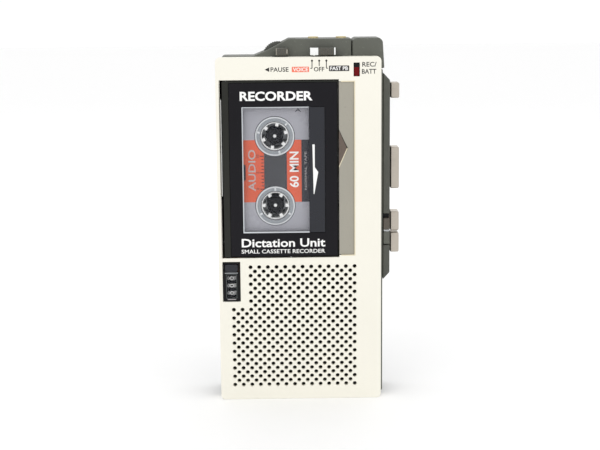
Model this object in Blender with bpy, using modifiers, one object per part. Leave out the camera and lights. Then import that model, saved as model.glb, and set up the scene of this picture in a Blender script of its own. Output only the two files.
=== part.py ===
"""Pocket tape recorder, modelled piece by piece.

Metres, +Z up. The recorder stands on its bottom end, the front cover faces -Y, and the origin is
the centre of the bottom end. X runs from the door's hinge (left) to the key rail (right).
"""
import math

import bmesh
import bpy
from mathutils import Matrix, Vector

MM = 0.001

# Whole recorder
BODY_WIDTH = 51.0 * MM        # front cover, side to side
COVER_HEIGHT = 108.5 * MM     # front cover, bottom to top
MECHANISM_DEPTH = 9.9 * MM    # depth of the body beyond the cassette's thickness
CONTROLS_DEPTH = 7.7 * MM     # depth of the body beyond the cells' diameter
COVER_DEPTH = 4.4 * MM        # how far back the front cover reaches
WALL = 1.2 * MM               # moulded walls of cover and case
CORNER_RADIUS = WALL + 0.2 * MM    # leaves the inside corners a small radius
GAP = 0.3 * MM                # between pieces that meet
FIT = 0.15 * MM               # round small inserts and running pins
CASE_FLARE = 0.8 * MM         # case stands proud of the cover on the key side
TOP_RISE = 5.4 * MM           # case top above the cover top
SOFT_EDGE = 0.2 * MM          # broken edge of small controls
WELD = 0.001 * MM             # points closer than this are one
MARKER_SIZE = 3.0 * MM        # empty on a joint axis
CORNER_STEPS = 4              # sides of a quarter-round corner
FINE_STEPS = 32               # sides of large round pieces
ROUND_STEPS = 28              # sides of hubs and the motor
TURNED_STEPS = 24             # sides of spindles, rollers and cells
BARREL_STEPS = 20             # sides of drums, jacks and the microphone
SMALL_STEPS = 16              # sides of screws and small holes
PIN_STEPS = 12                # sides of pins and axles

# Cassette door
DOOR_WIDTH = 35.7 * MM
DOOR_HEIGHT = 55.05 * MM
DOOR_THICKNESS = 1.6 * MM
DOOR_SIDE_BORDER = 1.9 * MM   # cover edge to door
DOOR_TOP_BORDER = 7.2 * MM
DOOR_INSET = 0.1 * MM         # door face below the cover face
BEZEL_LEFT = 2.1 * MM         # door edge to glossy panel
PANEL_THICKNESS = 0.6 * MM
WINDOW_SIDE = 3.8 * MM        # panel edge to window
WINDOW_WIDTH = 25.8 * MM
WINDOW_HEIGHT = 39.4 * MM
WINDOW_TOP = 8.0 * MM         # door top to window
HINGE_PIN_RADIUS = 0.2 * MM
HINGE_PIN_LENGTH = 30.0 * MM
HINGE_PIN_DROP = 5.6 * MM     # door top to pin top

# Latch strip beside the door
STRIP_WIDTH = 4.7 * MM
STRIP_THICKNESS = 1.3 * MM
STRIP_RECESS = 0.3 * MM
STRIP_END_INSET = 0.5 * MM    # strip end below the door end
NAIL_NOTCH_HEIGHT = 12.3 * MM
NAIL_NOTCH_REACH = 2.8 * MM
NAIL_NOTCH_DEPTH = 0.6 * MM
NAIL_NOTCH_DROP = 28.3 * MM   # below the cover's top

# Tape cassette
CASSETTE_WIDTH = 33.4 * MM
CASSETTE_LENGTH = 50.2 * MM
CASSETTE_THICKNESS = 8.1 * MM
CASSETTE_SHIFT = 1.05 * MM    # cassette centre from door centre, towards the heads
CASSETTE_DROP = 0.65 * MM
CASSETTE_CLEARANCE = 0.4 * MM # door back to cassette
CASSETTE_CORNER_STEPS = 3
SHELL_WALL = 1.0 * MM
HUB_SPACING = 21.8 * MM
HUB_SHIFT = 2.8 * MM          # hub line from the cassette's centre line
HUB_RADIUS = 4.4 * MM
HUB_BORE = 4.1 * MM
HUB_TOOTH_REACH = 1.0 * MM
HUB_TOOTH_WIDTH = 1.0 * MM
HUB_TEETH = 6
HUB_CLEARANCE = 0.2 * MM      # hub to the shell's opening
HUB_FLANGE = 0.9 * MM         # beyond the hub's radius
HUB_RECESS = 0.4 * MM         # hub end below the shell face
BORE_ARC_SHARES = (0.35, 0.5, 0.65)   # points on the bore between two teeth
TAPE_WIDTH = 3.8 * MM
SUPPLY_PACK_RADIUS = 11.0 * MM
TAKEUP_PACK_RADIUS = 7.4 * MM
HEAD_NOTCH_DEPTH = 2.8 * MM

# Tape drive
CHASSIS_THICKNESS = 1.0 * MM
CHASSIS_CLEARANCE = 0.6 * MM  # cassette back to chassis
DRIVE_THICKNESS = 2.3 * MM    # gears and flywheel
SPINDLE_RADIUS = 2.7 * MM
SPINDLE_SHAFT = 1.5 * MM
SPINDLE_DROP = 0.6 * MM       # spindle tip below the shell face
SPINDLE_TIP_RADIUS = 0.5 * MM
SPINDLE_TIP_LENGTH = 0.5 * MM
SPINDLE_NOSE = 1.2 * MM       # tip to the full radius
REEL_GEAR_RADIUS = 8.0 * MM
REEL_GEAR_TEETH = 32
IDLER_TEETH = 11
TOOTH_HEIGHT = 0.7 * MM
TOOTH_FLANKS = (0.3, 0.45, 0.8)       # end of root, start and end of tip, in tooth pitches
FLYWHEEL_RADIUS = 7.4 * MM
CAPSTAN_RADIUS = 0.75 * MM
CAPSTAN_FIT = 0.1 * MM
CAPSTAN_INSET = 2.8 * MM      # from the cassette's head edge
CAPSTAN_DROP = 12.6 * MM      # below the cassette's centre
BELT_WIDTH = 0.8 * MM
BELT_THICKNESS = 0.6 * MM
BELT_STEPS = 20               # sides of the arc round the flywheel
PULLEY_RADIUS = 2.0 * MM
MOTOR_RADIUS = 7.0 * MM
MOTOR_LENGTH = 5.6 * MM
MOTOR_X = 14.0 * MM
MOTOR_Z = 36.0 * MM
PINCH_RADIUS = 2.2 * MM
PINCH_LENGTH = 3.2 * MM
PINCH_BORE = 0.5 * MM
ARM_REACH = 1.2 * MM          # past the roller's axis
ARM_HALF_HEIGHT = 1.6 * MM
ARM_THICKNESS = 0.8 * MM
HEAD_DEPTH = 2.7 * MM
HEAD_EDGE = 0.3 * MM
TAPE_HEAD_HALF_HEIGHT = 2.2 * MM
ERASE_HEAD_HALF_HEIGHT = 1.6 * MM
ERASE_HEAD_RISE = 11.0 * MM   # above the tape head
SLIDE_WIDTH = 1.6 * MM
SLIDE_RISE = 17.0 * MM        # above the tape head
SLIDE_FOOT = 2.0 * MM         # below the pinch roller
SLIDE_FRONT = 2.0 * MM        # ahead of the tape's middle

# Keys and their rail
RAIL_PROUD = 2.26 * MM        # beyond the case flare
RAIL_DEPTH = 10.8 * MM
KEY_PROUD = 3.1 * MM          # beyond the rail
KEY_TRAVEL = 2.0 * MM
KEY_BUTTON_DEPTH = 5.4 * MM
KEY_STEM_DEPTH = 2.2 * MM
KEY_STEM_INSET = 0.8 * MM
KEY_STEM_OVERLAP = 1.0 * MM   # stem inside the button
KEY_EDGE = 0.3 * MM
KEY_SPANS = {                 # distance below the cover's top: lower and upper edge
    "record_key": (13.3 * MM, 8.5 * MM),
    "play_key": (41.85 * MM, 28.7 * MM),
    "forward_key": (55.4 * MM, 49.3 * MM),
    "rewind_key": (62.4 * MM, 56.1 * MM),
}
RAIL_SPAN = (70.9 * MM, 5.3 * MM)
RAIL_CHAMFER = 2.3 * MM
SWITCH_SPAN = (59.4 * MM, 51.1 * MM)
SWITCH_TRAVEL = 1.2 * MM
SWITCH_DEPTH = 1.0 * MM

# Tape counter
COUNTER_SIDE = 1.1 * MM       # cover edge to counter
COUNTER_WIDTH = 5.6 * MM
COUNTER_BOTTOM = 32.0 * MM
COUNTER_HEIGHT = 12.8 * MM
COUNTER_LIP = 1.2 * MM
DRUM_RADIUS = 2.1 * MM
DRUM_WIDTH = 1.9 * MM
DRUM_PITCH = 2.4 * MM
DRUM_AXLE_RADIUS = 0.4 * MM
RESET_HEIGHT = 2.5 * MM
RESET_PROUD = 0.3 * MM
RESET_LENGTH = 2.4 * MM

# Top edge controls
LED_WIDTH = 1.6 * MM
LED_HEIGHT = 3.9 * MM
LED_FROM_RIGHT = 7.6 * MM
LED_FROM_TOP = 3.95 * MM
SLIDER_HEIGHT = 2.4 * MM
SLIDER_DEPTH = 2.6 * MM
SLIDER_STEM_DEPTH = 1.6 * MM
SLIDER_STEM_LENGTH = 3.0 * MM
SLIDER_STEM_SHARE = 1 / 3     # of the knob's width
PAUSE_SPAN = (32.3 * MM, 28.4 * MM)   # distance from the cover's right edge
PAUSE_TRAVEL = 2.2 * MM
MODE_SPAN = (21.8 * MM, 14.0 * MM)
MODE_TRAVEL = 4.4 * MM
DIAL_RADIUS = 5.0 * MM
DIAL_THICKNESS = 2.6 * MM
DIAL_FROM_RIGHT = 31.6 * MM
DIAL_DROP = 0.3 * MM          # dial centre below the cover's top
DIAL_RIBS = 36
DIAL_RIB_DEPTH = 0.25 * MM
JACK_RADIUS = 1.65 * MM
JACK_BORE = 1.25 * MM
JACK_BODY_WIDTH = 3.2 * MM
JACK_BODY_DEPTH = 6.0 * MM
JACK_BODY_HEIGHT = 9.0 * MM
JACK_PROUD = 0.5 * MM
JACK_POSITIONS = {"microphone_jack": 20.7 * MM, "earphone_jack": 12.0 * MM}
MIC_BLOCK_WIDTH = 9.5 * MM
MIC_BLOCK_DROP = 4.2 * MM     # below the cover's top
MIC_BLOCK_FLARE = 0.5 * MM
MIC_BLOCK_RISE = 0.1 * MM     # above the case
MIC_BLOCK_CHAMFER = 1.0 * MM
MIC_RADIUS = 3.0 * MM
MIC_LENGTH = 4.0 * MM
MIC_HOLE_RADIUS = 0.8 * MM
SLOPE_FOOT = 39.4 * MM        # from the cover's right edge
SLOPE_BEND = 35.5 * MM
SLOPE_TOP = 28.4 * MM
SLOPE_BEND_RISE = 1.8 * MM
LEDGE_RISE = 0.2 * MM
LEDGE_CHAMFER = 2.0 * MM

# Loudspeaker
SPEAKER_RADIUS = 17.0 * MM
SPEAKER_X = -1.9 * MM
SPEAKER_Z = 24.0 * MM
SPEAKER_RIM = 1.2 * MM
SPEAKER_DEPTH = 4.1 * MM
SPEAKER_RIM_DEPTH = 1.0 * MM
BASKET_WALL = 0.6 * MM
BASKET_STEP = 0.5 * MM        # basket inside the rim
CONE_CLEARANCE = 0.3 * MM     # cone to basket
CONE_THICKNESS = 0.4 * MM
MAGNET_RADIUS = 7.0 * MM
MAGNET_DEPTH = 1.3 * MM

# Batteries and their cover
BATTERY_RADIUS = 5.15 * MM
BATTERY_LENGTH = 44.5 * MM
BATTERY_NUB_RADIUS = 1.9 * MM
BATTERY_NUB_LENGTH = 1.0 * MM
BATTERY_FLOOR = 3.0 * MM
SPRING_WIRE_RADIUS = 0.25 * MM
SPRING_RADIUS = 2.2 * MM
SPRING_TURNS = 2
SPRING_STEPS = 10             # sides of one turn
SPRING_TAPER = 0.35           # share of the radius lost along the spring
STRAP_THICKNESS = 0.3 * MM
STRAP_MARGIN = 3.0 * MM       # strap beyond the cells' centre lines
HATCH_BOTTOM = 2.6 * MM
HATCH_FRONT_BORDER = 1.3 * MM
HATCH_MARGIN = 1.0 * MM       # cells to hatch end, and hatch end to drive
GRIP_PROUD = 0.3 * MM
GRIP_BOTTOM = 19.0 * MM
GRIP_HEIGHT = 16.0 * MM

# Circuit board and screws
BOARD_THICKNESS = 1.0 * MM
BOARD_SIDE = 2.0 * MM
SCREW_HEAD_RADIUS = 1.6 * MM
SCREW_HEAD_HEIGHT = 0.9 * MM
SCREW_RADIUS = 0.8 * MM
SCREW_LENGTH = 4.4 * MM
SCREW_INSET = 4.5 * MM

# Places worked out from the sizes
BODY_DEPTH = max(CASSETTE_THICKNESS + MECHANISM_DEPTH, 2 * BATTERY_RADIUS + CONTROLS_DEPTH)
FRONT = -BODY_DEPTH / 2
BACK = BODY_DEPTH / 2
PARTING = FRONT + COVER_DEPTH
LEFT = -BODY_WIDTH / 2
RIGHT = BODY_WIDTH / 2
CASE_RIGHT = RIGHT + CASE_FLARE
CASE_TOP = COVER_HEIGHT + TOP_RISE
DOOR_LEFT = LEFT + DOOR_SIDE_BORDER
DOOR_RIGHT = DOOR_LEFT + DOOR_WIDTH
DOOR_TOP = COVER_HEIGHT - DOOR_TOP_BORDER
DOOR_BOTTOM = DOOR_TOP - DOOR_HEIGHT
DOOR_FRONT = FRONT + DOOR_INSET
DOOR_BACK = DOOR_FRONT + DOOR_THICKNESS
HINGE_X = DOOR_LEFT - 2 * HINGE_PIN_RADIUS
HINGE_Y = DOOR_FRONT + GAP
STRIP_LEFT = DOOR_RIGHT + GAP
STRIP_RIGHT = STRIP_LEFT + STRIP_WIDTH
CASSETTE_X = (DOOR_LEFT + DOOR_RIGHT) / 2 + CASSETTE_SHIFT
CASSETTE_Z = (DOOR_BOTTOM + DOOR_TOP) / 2 - CASSETTE_DROP
CASSETTE_FRONT = DOOR_BACK + CASSETTE_CLEARANCE
CASSETTE_BACK = CASSETTE_FRONT + CASSETTE_THICKNESS
CASSETTE_MIDDLE = (CASSETTE_FRONT + CASSETTE_BACK) / 2
CASSETTE_EDGE = CASSETTE_X + CASSETTE_WIDTH / 2
HUB_X = CASSETTE_X - HUB_SHIFT
SUPPLY_Z = CASSETTE_Z - HUB_SPACING / 2
TAKEUP_Z = CASSETTE_Z + HUB_SPACING / 2
CHASSIS_FRONT = CASSETTE_BACK + CHASSIS_CLEARANCE
CHASSIS_BACK = CHASSIS_FRONT + CHASSIS_THICKNESS
DRIVE_FRONT = CHASSIS_BACK + GAP + FIT
DRIVE_BACK = DRIVE_FRONT + DRIVE_THICKNESS
BOARD_FRONT = DRIVE_BACK + GAP + FIT
CAPSTAN_X = CASSETTE_EDGE - CAPSTAN_INSET
CAPSTAN_Z = CASSETTE_Z - CAPSTAN_DROP
CARRIAGE_X = CASSETTE_EDGE + GAP
SLIDE_LEFT = CARRIAGE_X + HEAD_DEPTH + GAP
SLIDE_RIGHT = SLIDE_LEFT + SLIDE_WIDTH
DIAL_X = RIGHT - DIAL_FROM_RIGHT
DIAL_Z = COVER_HEIGHT - DIAL_DROP
RAIL_LEFT = CASE_RIGHT + FIT
RAIL_RIGHT = CASE_RIGHT + RAIL_PROUD
RAIL_FRONT = PARTING + GAP
KEY_LEFT = RAIL_RIGHT + GAP
KEY_RIGHT = RAIL_RIGHT + KEY_PROUD
KEY_STEM_BACK = CHASSIS_FRONT - GAP
KEY_STEM_FRONT = KEY_STEM_BACK - KEY_STEM_DEPTH
KEY_MIDDLE = (KEY_STEM_FRONT + KEY_STEM_BACK) / 2
BATTERY_TOP = BATTERY_FLOOR + BATTERY_LENGTH
BATTERY_Y = BACK - WALL - GAP - BATTERY_RADIUS
BATTERY_LEFT_X = LEFT + WALL + GAP + BATTERY_RADIUS
BATTERY_RIGHT_X = BATTERY_LEFT_X + 2 * BATTERY_RADIUS + GAP
HATCH_RIGHT = BATTERY_RIGHT_X + BATTERY_RADIUS + 2 * GAP
HATCH_TOP = BATTERY_TOP + HATCH_MARGIN
DRIVE_FLOOR = HATCH_TOP + HATCH_MARGIN

# Finishes: colour, roughness, metallic
FINISHES = {
    "ivory": ((0.93, 0.92, 0.86), 0.45, 0.0),
    "olive": ((0.12, 0.12, 0.10), 0.55, 0.0),
    "gloss_black": ((0.015, 0.015, 0.02), 0.10, 0.0),
    "clear": ((0.55, 0.57, 0.60), 0.05, 0.0),
    "steel": ((0.62, 0.62, 0.60), 0.25, 1.0),
    "strip_grey": ((0.36, 0.35, 0.31), 0.50, 0.0),
    "black": ((0.02, 0.02, 0.02), 0.45, 0.0),
    "white": ((0.85, 0.85, 0.83), 0.40, 0.0),
    "red": ((0.30, 0.01, 0.01), 0.15, 0.0),
    "nickel": ((0.55, 0.50, 0.44), 0.35, 1.0),
    "brass": ((0.65, 0.50, 0.25), 0.30, 1.0),
    "rubber": ((0.03, 0.03, 0.03), 0.80, 0.0),
    "board_green": ((0.03, 0.16, 0.07), 0.50, 0.0),
    "paper": ((0.12, 0.12, 0.12), 0.90, 0.0),
    "shell_grey": ((0.38, 0.38, 0.41), 0.35, 0.0),
    "tape_brown": ((0.07, 0.04, 0.03), 0.30, 0.0),
    "cell_jacket": ((0.10, 0.11, 0.14), 0.30, 0.3),
}


def clear_scene():
    for old in list(bpy.data.objects):
        bpy.data.objects.remove(old, do_unlink=True)


def new_collection(name):
    collection = bpy.data.collections.new(name)
    bpy.context.scene.collection.children.link(collection)
    return collection


clear_scene()
PARTS = new_collection("pocket_tape_recorder")
CUTTERS = new_collection("cutters")


def new_material(name, finish):
    colour, roughness, metallic = FINISHES[finish]
    material = bpy.data.materials.new(name)
    material.use_nodes = True
    shader = material.node_tree.nodes["Principled BSDF"]
    shader.inputs["Base Color"].default_value = (*colour, 1.0)
    shader.inputs["Roughness"].default_value = roughness
    shader.inputs["Metallic"].default_value = metallic
    return material


def add_object(name, mesh, finish):
    """Put a mesh in the parts collection, or with no finish in the cutters collection."""
    obj = bpy.data.objects.new(name, mesh)
    if finish is None:
        CUTTERS.objects.link(obj)
        obj.hide_render = True
        obj.display_type = "WIRE"
    else:
        PARTS.objects.link(obj)
        mesh.materials.append(new_material(name, finish))
    return obj


def box(name, low, high, finish=None, edge=0.0):
    """Box between two opposite corners, with an optional small edge bevel."""
    low, high = Vector(low), Vector(high)
    mesh = bpy.data.meshes.new(name)
    shape = bmesh.new()
    bmesh.ops.create_cube(shape, size=1.0)
    bmesh.ops.scale(shape, vec=high - low, verts=shape.verts)
    shape.to_mesh(mesh)
    shape.free()
    obj = add_object(name, mesh, finish)
    obj.location = (low + high) / 2
    if edge:
        bevel = obj.modifiers.new("edges", "BEVEL")
        bevel.width = edge
        bevel.segments = 1
    return obj


def plate(name, outline, low, high, finish=None, origin=(0.0, 0.0), along="Y"):
    """Flat outline extruded from low to high along Y (points are x, z) or along Z (x, y)."""
    curve = bpy.data.curves.new(name, "CURVE")
    curve.dimensions = "2D"
    curve.fill_mode = "BOTH"
    curve.extrude = (high - low) / 2
    spline = curve.splines.new("POLY")
    spline.points.add(len(outline) - 1)
    for point, (across, up) in zip(spline.points, outline):
        point.co = (across, up, 0.0, 1.0)
    spline.use_cyclic_u = True
    guide = bpy.data.objects.new(name, curve)
    bpy.context.scene.collection.objects.link(guide)
    middle = (low + high) / 2
    if along == "Y":
        guide.rotation_euler = (math.pi / 2, 0.0, 0.0)
        guide.location = (origin[0], middle, origin[1])
    else:
        guide.location = (origin[0], origin[1], middle)
    return mesh_from_curve(name, guide, finish)


def mesh_from_curve(name, guide, finish):
    """Turn a curve object into a welded mesh object in the same place."""
    bpy.context.view_layer.update()
    graph = bpy.context.evaluated_depsgraph_get()
    mesh = bpy.data.meshes.new_from_object(guide.evaluated_get(graph))
    shape = bmesh.new()
    shape.from_mesh(mesh)
    bmesh.ops.remove_doubles(shape, verts=shape.verts, dist=WELD)
    bmesh.ops.recalc_face_normals(shape, faces=shape.faces)
    shape.to_mesh(mesh)
    shape.free()
    placement = guide.matrix_world.copy()
    curve = guide.data
    bpy.data.objects.remove(guide)
    bpy.data.curves.remove(curve)
    mesh.name = name
    obj = add_object(name, mesh, finish)
    obj.name = name
    obj.matrix_world = placement
    return obj


def turned(name, profile, origin, along="Y", steps=TURNED_STEPS, closed=False, finish=None):
    """Solid of revolution. The profile's (radius, height) points run down its outer side."""
    mesh = bpy.data.meshes.new(name)
    edges = [(index, index + 1) for index in range(len(profile) - 1)]
    if closed:
        edges.append((len(profile) - 1, 0))
    mesh.from_pydata([(radius, 0.0, height) for radius, height in profile], edges, [])
    obj = add_object(name, mesh, finish)
    obj.location = origin
    if along == "Y":
        obj.rotation_euler = (-math.pi / 2, 0.0, 0.0)
    screw = obj.modifiers.new("turn", "SCREW")
    screw.axis = "Z"
    screw.steps = steps
    screw.render_steps = steps
    screw.use_merge_vertices = True
    screw.merge_threshold = WELD
    screw.use_smooth_shade = True
    return obj


def cylinder(name, radius, low, high, origin, along="Y", steps=TURNED_STEPS, finish=None):
    profile = [(0.0, high), (radius, high), (radius, low), (0.0, low)]
    return turned(name, profile, origin, along, steps, finish=finish)


def ring(name, outer, inner, low, high, origin, along="Y", steps=TURNED_STEPS, finish=None):
    profile = [(inner, high), (outer, high), (outer, low), (inner, low)]
    return turned(name, profile, origin, along, steps, closed=True, finish=finish)


def combine(target, operation, *tools):
    for tool in tools:
        boolean = target.modifiers.new(operation.lower(), "BOOLEAN")
        boolean.operation = operation
        boolean.solver = "EXACT"
        boolean.object = tool


def subtract(target, *cutters):
    combine(target, "DIFFERENCE", *cutters)


def unite(target, *tools):
    combine(target, "UNION", *tools)


def on_axis(name, place, pieces):
    """Parent pieces to an empty that marks their joint's axis."""
    empty = bpy.data.objects.new(name, None)
    empty.location = place
    empty.empty_display_size = MARKER_SIZE
    PARTS.objects.link(empty)
    for piece in pieces:
        piece.parent = empty
        piece.matrix_parent_inverse = Matrix.Translation(-Vector(place))


def rounded_rectangle(low, high, radius, steps=CORNER_STEPS):
    """Outline of a rectangle with quarter-round corners, counter-clockwise."""
    corners = [
        (high[0] - radius, low[1] + radius, -90),
        (high[0] - radius, high[1] - radius, 0),
        (low[0] + radius, high[1] - radius, 90),
        (low[0] + radius, low[1] + radius, 180),
    ]
    points = []
    for x, z, start in corners:
        for index in range(steps + 1):
            angle = math.radians(start + 90 * index / steps)
            points.append((x + radius * math.cos(angle), z + radius * math.sin(angle)))
    return points


def inset(outline, distance):
    """Move each side of a counter-clockwise outline inwards by the same distance."""
    count = len(outline)
    points = []
    for index in range(count):
        before = Vector(outline[index - 1])
        here = Vector(outline[index])
        after = Vector(outline[(index + 1) % count])
        first = (here - before).normalized()
        second = (after - here).normalized()
        first_normal = Vector((-first.y, first.x))
        second_normal = Vector((-second.y, second.x))
        mitre = first_normal + second_normal
        points.append(tuple(here + mitre * (distance / (1 + first_normal.dot(second_normal)))))
    return points


def gear_outline(radius, teeth):
    """Trapezoid teeth between the root circle and the tip circle."""
    points = []
    pitch = 2 * math.pi / teeth
    root = radius - TOOTH_HEIGHT
    for index in range(teeth):
        start = index * pitch
        for share, reach in zip((0.0, *TOOTH_FLANKS), (root, root, radius, radius)):
            angle = start + share * pitch
            points.append((reach * math.cos(angle), reach * math.sin(angle)))
    return points


def case_outline():
    """Front view of the rear case: flat top, slope over the dial, corner for the microphone."""
    ledge = COVER_HEIGHT + LEDGE_RISE
    block_left = CASE_RIGHT - MIC_BLOCK_WIDTH - GAP
    shelf = COVER_HEIGHT - MIC_BLOCK_DROP
    return [
        (LEFT + FIT + WALL, 0.0),
        (CASE_RIGHT - WALL, 0.0),
        (CASE_RIGHT, WALL),
        (CASE_RIGHT, shelf),
        (block_left, shelf),
        (block_left, CASE_TOP),
        (RIGHT - SLOPE_TOP, CASE_TOP),
        (RIGHT - SLOPE_BEND, COVER_HEIGHT + SLOPE_BEND_RISE),
        (RIGHT - SLOPE_FOOT, ledge),
        (LEFT + FIT + LEDGE_CHAMFER, ledge),
        (LEFT + FIT, ledge - LEDGE_CHAMFER),
        (LEFT + FIT, WALL),
    ]


def build_front_cover():
    outline = rounded_rectangle((LEFT, 0.0), (RIGHT, COVER_HEIGHT), CORNER_RADIUS)
    cover = plate("front_cover", outline, FRONT, PARTING, "ivory")
    hollow = plate("cover_hollow", inset(outline, WALL), FRONT + WALL, PARTING + GAP)
    door_hole = box(
        "door_hole",
        (HINGE_X - HINGE_PIN_RADIUS - GAP, FRONT - GAP, DOOR_BOTTOM - GAP),
        (STRIP_LEFT, PARTING, DOOR_TOP + GAP),
    )
    strip_hole = box(
        "strip_hole",
        (DOOR_RIGHT, FRONT - GAP, DOOR_BOTTOM + STRIP_END_INSET - FIT),
        (STRIP_RIGHT + FIT, PARTING, DOOR_TOP - STRIP_END_INSET + FIT),
    )
    counter_hole = box(
        "counter_hole",
        (LEFT + COUNTER_SIDE, FRONT - GAP, COUNTER_BOTTOM),
        (LEFT + COUNTER_SIDE + COUNTER_WIDTH, PARTING, COUNTER_BOTTOM + COUNTER_HEIGHT),
    )
    led_left = RIGHT - LED_FROM_RIGHT - LED_WIDTH / 2
    led_middle = COVER_HEIGHT - LED_FROM_TOP
    led_hole = box(
        "led_hole",
        (led_left - FIT, FRONT - GAP, led_middle - LED_HEIGHT / 2 - FIT),
        (led_left + LED_WIDTH + FIT, PARTING, led_middle + LED_HEIGHT / 2 + FIT),
    )
    subtract(cover, hollow, door_hole, strip_hole, counter_hole, led_hole)
    for name, (far, near), reach in (
        ("pause_slot", PAUSE_SPAN, (-PAUSE_TRAVEL, 0.0)),
        ("mode_slot", MODE_SPAN, (0.0, MODE_TRAVEL)),
    ):
        left, right = stem_span(far, near)
        slot = box(
            name,
            (left + reach[0] - GAP, stem_front() - GAP, COVER_HEIGHT - 2 * WALL),
            (right + reach[1] + GAP, PARTING + GAP, COVER_HEIGHT + GAP),
        )
        subtract(cover, slot)
    box(
        "led_lens",
        (led_left, FRONT, led_middle - LED_HEIGHT / 2),
        (led_left + LED_WIDTH, FRONT + 2 * WALL, led_middle + LED_HEIGHT / 2),
        "red",
    )


def stem_span(far, near):
    """Left and right side of a top slider's stem."""
    middle = RIGHT - (far + near) / 2
    half = (far - near) * SLIDER_STEM_SHARE / 2
    return middle - half, middle + half


def stem_front():
    return PARTING - GAP - SLIDER_STEM_DEPTH


def build_rear_case():
    outline = case_outline()
    case = plate("rear_case", outline, PARTING + FIT, BACK, "olive")
    front_wall = PARTING + FIT + WALL
    hollow = plate("case_hollow", inset(outline, WALL), front_wall, BACK - WALL)
    mouth = box(
        "case_mouth",
        (LEFT + FIT + WALL, PARTING - GAP, WALL),
        (CASE_RIGHT - WALL, front_wall + GAP, COVER_HEIGHT - MIC_BLOCK_DROP - WALL),
    )
    subtract(case, hollow, mouth)
    hatch_hole = box(
        "hatch_hole",
        (LEFT - GAP, PARTING + HATCH_FRONT_BORDER, HATCH_BOTTOM),
        (HATCH_RIGHT, BACK + GAP, HATCH_TOP),
    )
    dial_slot = box(
        "dial_slot",
        (DIAL_X - DIAL_RADIUS - GAP, -DIAL_THICKNESS / 2 - GAP, DIAL_Z - WALL),
        (DIAL_X + DIAL_RADIUS + GAP, DIAL_THICKNESS / 2 + GAP, CASE_TOP + GAP),
    )
    subtract(case, hatch_hole, dial_slot)
    for name, from_right in JACK_POSITIONS.items():
        hole = cylinder(
            name + "_hole", JACK_RADIUS + FIT, CASE_TOP - 2 * WALL, CASE_TOP + GAP,
            (RIGHT - from_right, 0.0, 0.0), "Z",
        )
        subtract(case, hole)
    for name, (lower, upper) in KEY_SPANS.items():
        hole = box(
            name + "_case_hole",
            (CASE_RIGHT - 2 * WALL, KEY_STEM_FRONT - GAP, stem_low(lower) - GAP),
            (CASE_RIGHT + GAP, KEY_STEM_BACK + GAP, stem_high(upper) + GAP),
        )
        subtract(case, hole)
    for name, (x, z) in screw_places().items():
        pocket = turned(
            name + "_hole",
            [
                (0.0, BACK + GAP),
                (SCREW_HEAD_RADIUS + GAP, BACK + GAP),
                (SCREW_HEAD_RADIUS + GAP, BACK - SCREW_HEAD_HEIGHT + GAP),
                (SCREW_RADIUS + GAP, BACK - SCREW_HEAD_HEIGHT + GAP),
                (SCREW_RADIUS + GAP, BACK - 2 * WALL),
                (0.0, BACK - 2 * WALL),
            ],
            (x, 0.0, z), steps=SMALL_STEPS,
        )
        subtract(case, pocket)


def screw_places():
    high = COVER_HEIGHT - MIC_BLOCK_DROP - WALL - SCREW_RADIUS - 2 * GAP
    return {
        "case_screw_upper_left": (LEFT + SCREW_INSET, high),
        "case_screw_upper_right": (RIGHT - SCREW_INSET, high),
        "case_screw_lower_right": (RIGHT - SCREW_INSET, SCREW_INSET),
    }


def build_screws():
    for name, (x, z) in screw_places().items():
        screw = turned(
            name,
            [
                (0.0, BACK - FIT),
                (SCREW_HEAD_RADIUS, BACK - FIT),
                (SCREW_HEAD_RADIUS, BACK - SCREW_HEAD_HEIGHT + GAP + FIT),
                (SCREW_RADIUS, BACK - SCREW_HEAD_HEIGHT + GAP + FIT),
                (SCREW_RADIUS, BACK - SCREW_LENGTH),
                (0.0, BACK - SCREW_LENGTH),
            ],
            (x, 0.0, z), steps=SMALL_STEPS, finish="steel",
        )
        recess = box(
            name + "_cross",
            (x - SCREW_RADIUS, BACK - 3 * FIT, z - FIT),
            (x + SCREW_RADIUS, BACK + GAP, z + FIT),
        )
        subtract(screw, recess)


def build_battery_cover():
    """L-shaped cover round the left side and the back; it slides off to the left."""
    low, high = HATCH_BOTTOM + GAP, HATCH_TOP - GAP
    front = PARTING + HATCH_FRONT_BORDER + GAP
    right = HATCH_RIGHT - GAP
    outline = [
        (LEFT + FIT, front),
        (LEFT + FIT + WALL, front),
        (LEFT + FIT + WALL, BACK - WALL),
        (right, BACK - WALL),
        (right, BACK),
        (LEFT + FIT, BACK),
    ]
    cover = plate("battery_cover", outline, low, high, "olive", along="Z")
    grip = box(
        "grip",
        (LEFT - GRIP_PROUD, PARTING + COVER_DEPTH, GRIP_BOTTOM),
        (LEFT + WALL / 2, BACK - 2 * WALL, GRIP_BOTTOM + GRIP_HEIGHT),
    )
    unite(cover, grip)
    on_axis("battery_cover_slide", (LEFT, 0.0, (low + high) / 2), [cover])


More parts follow.
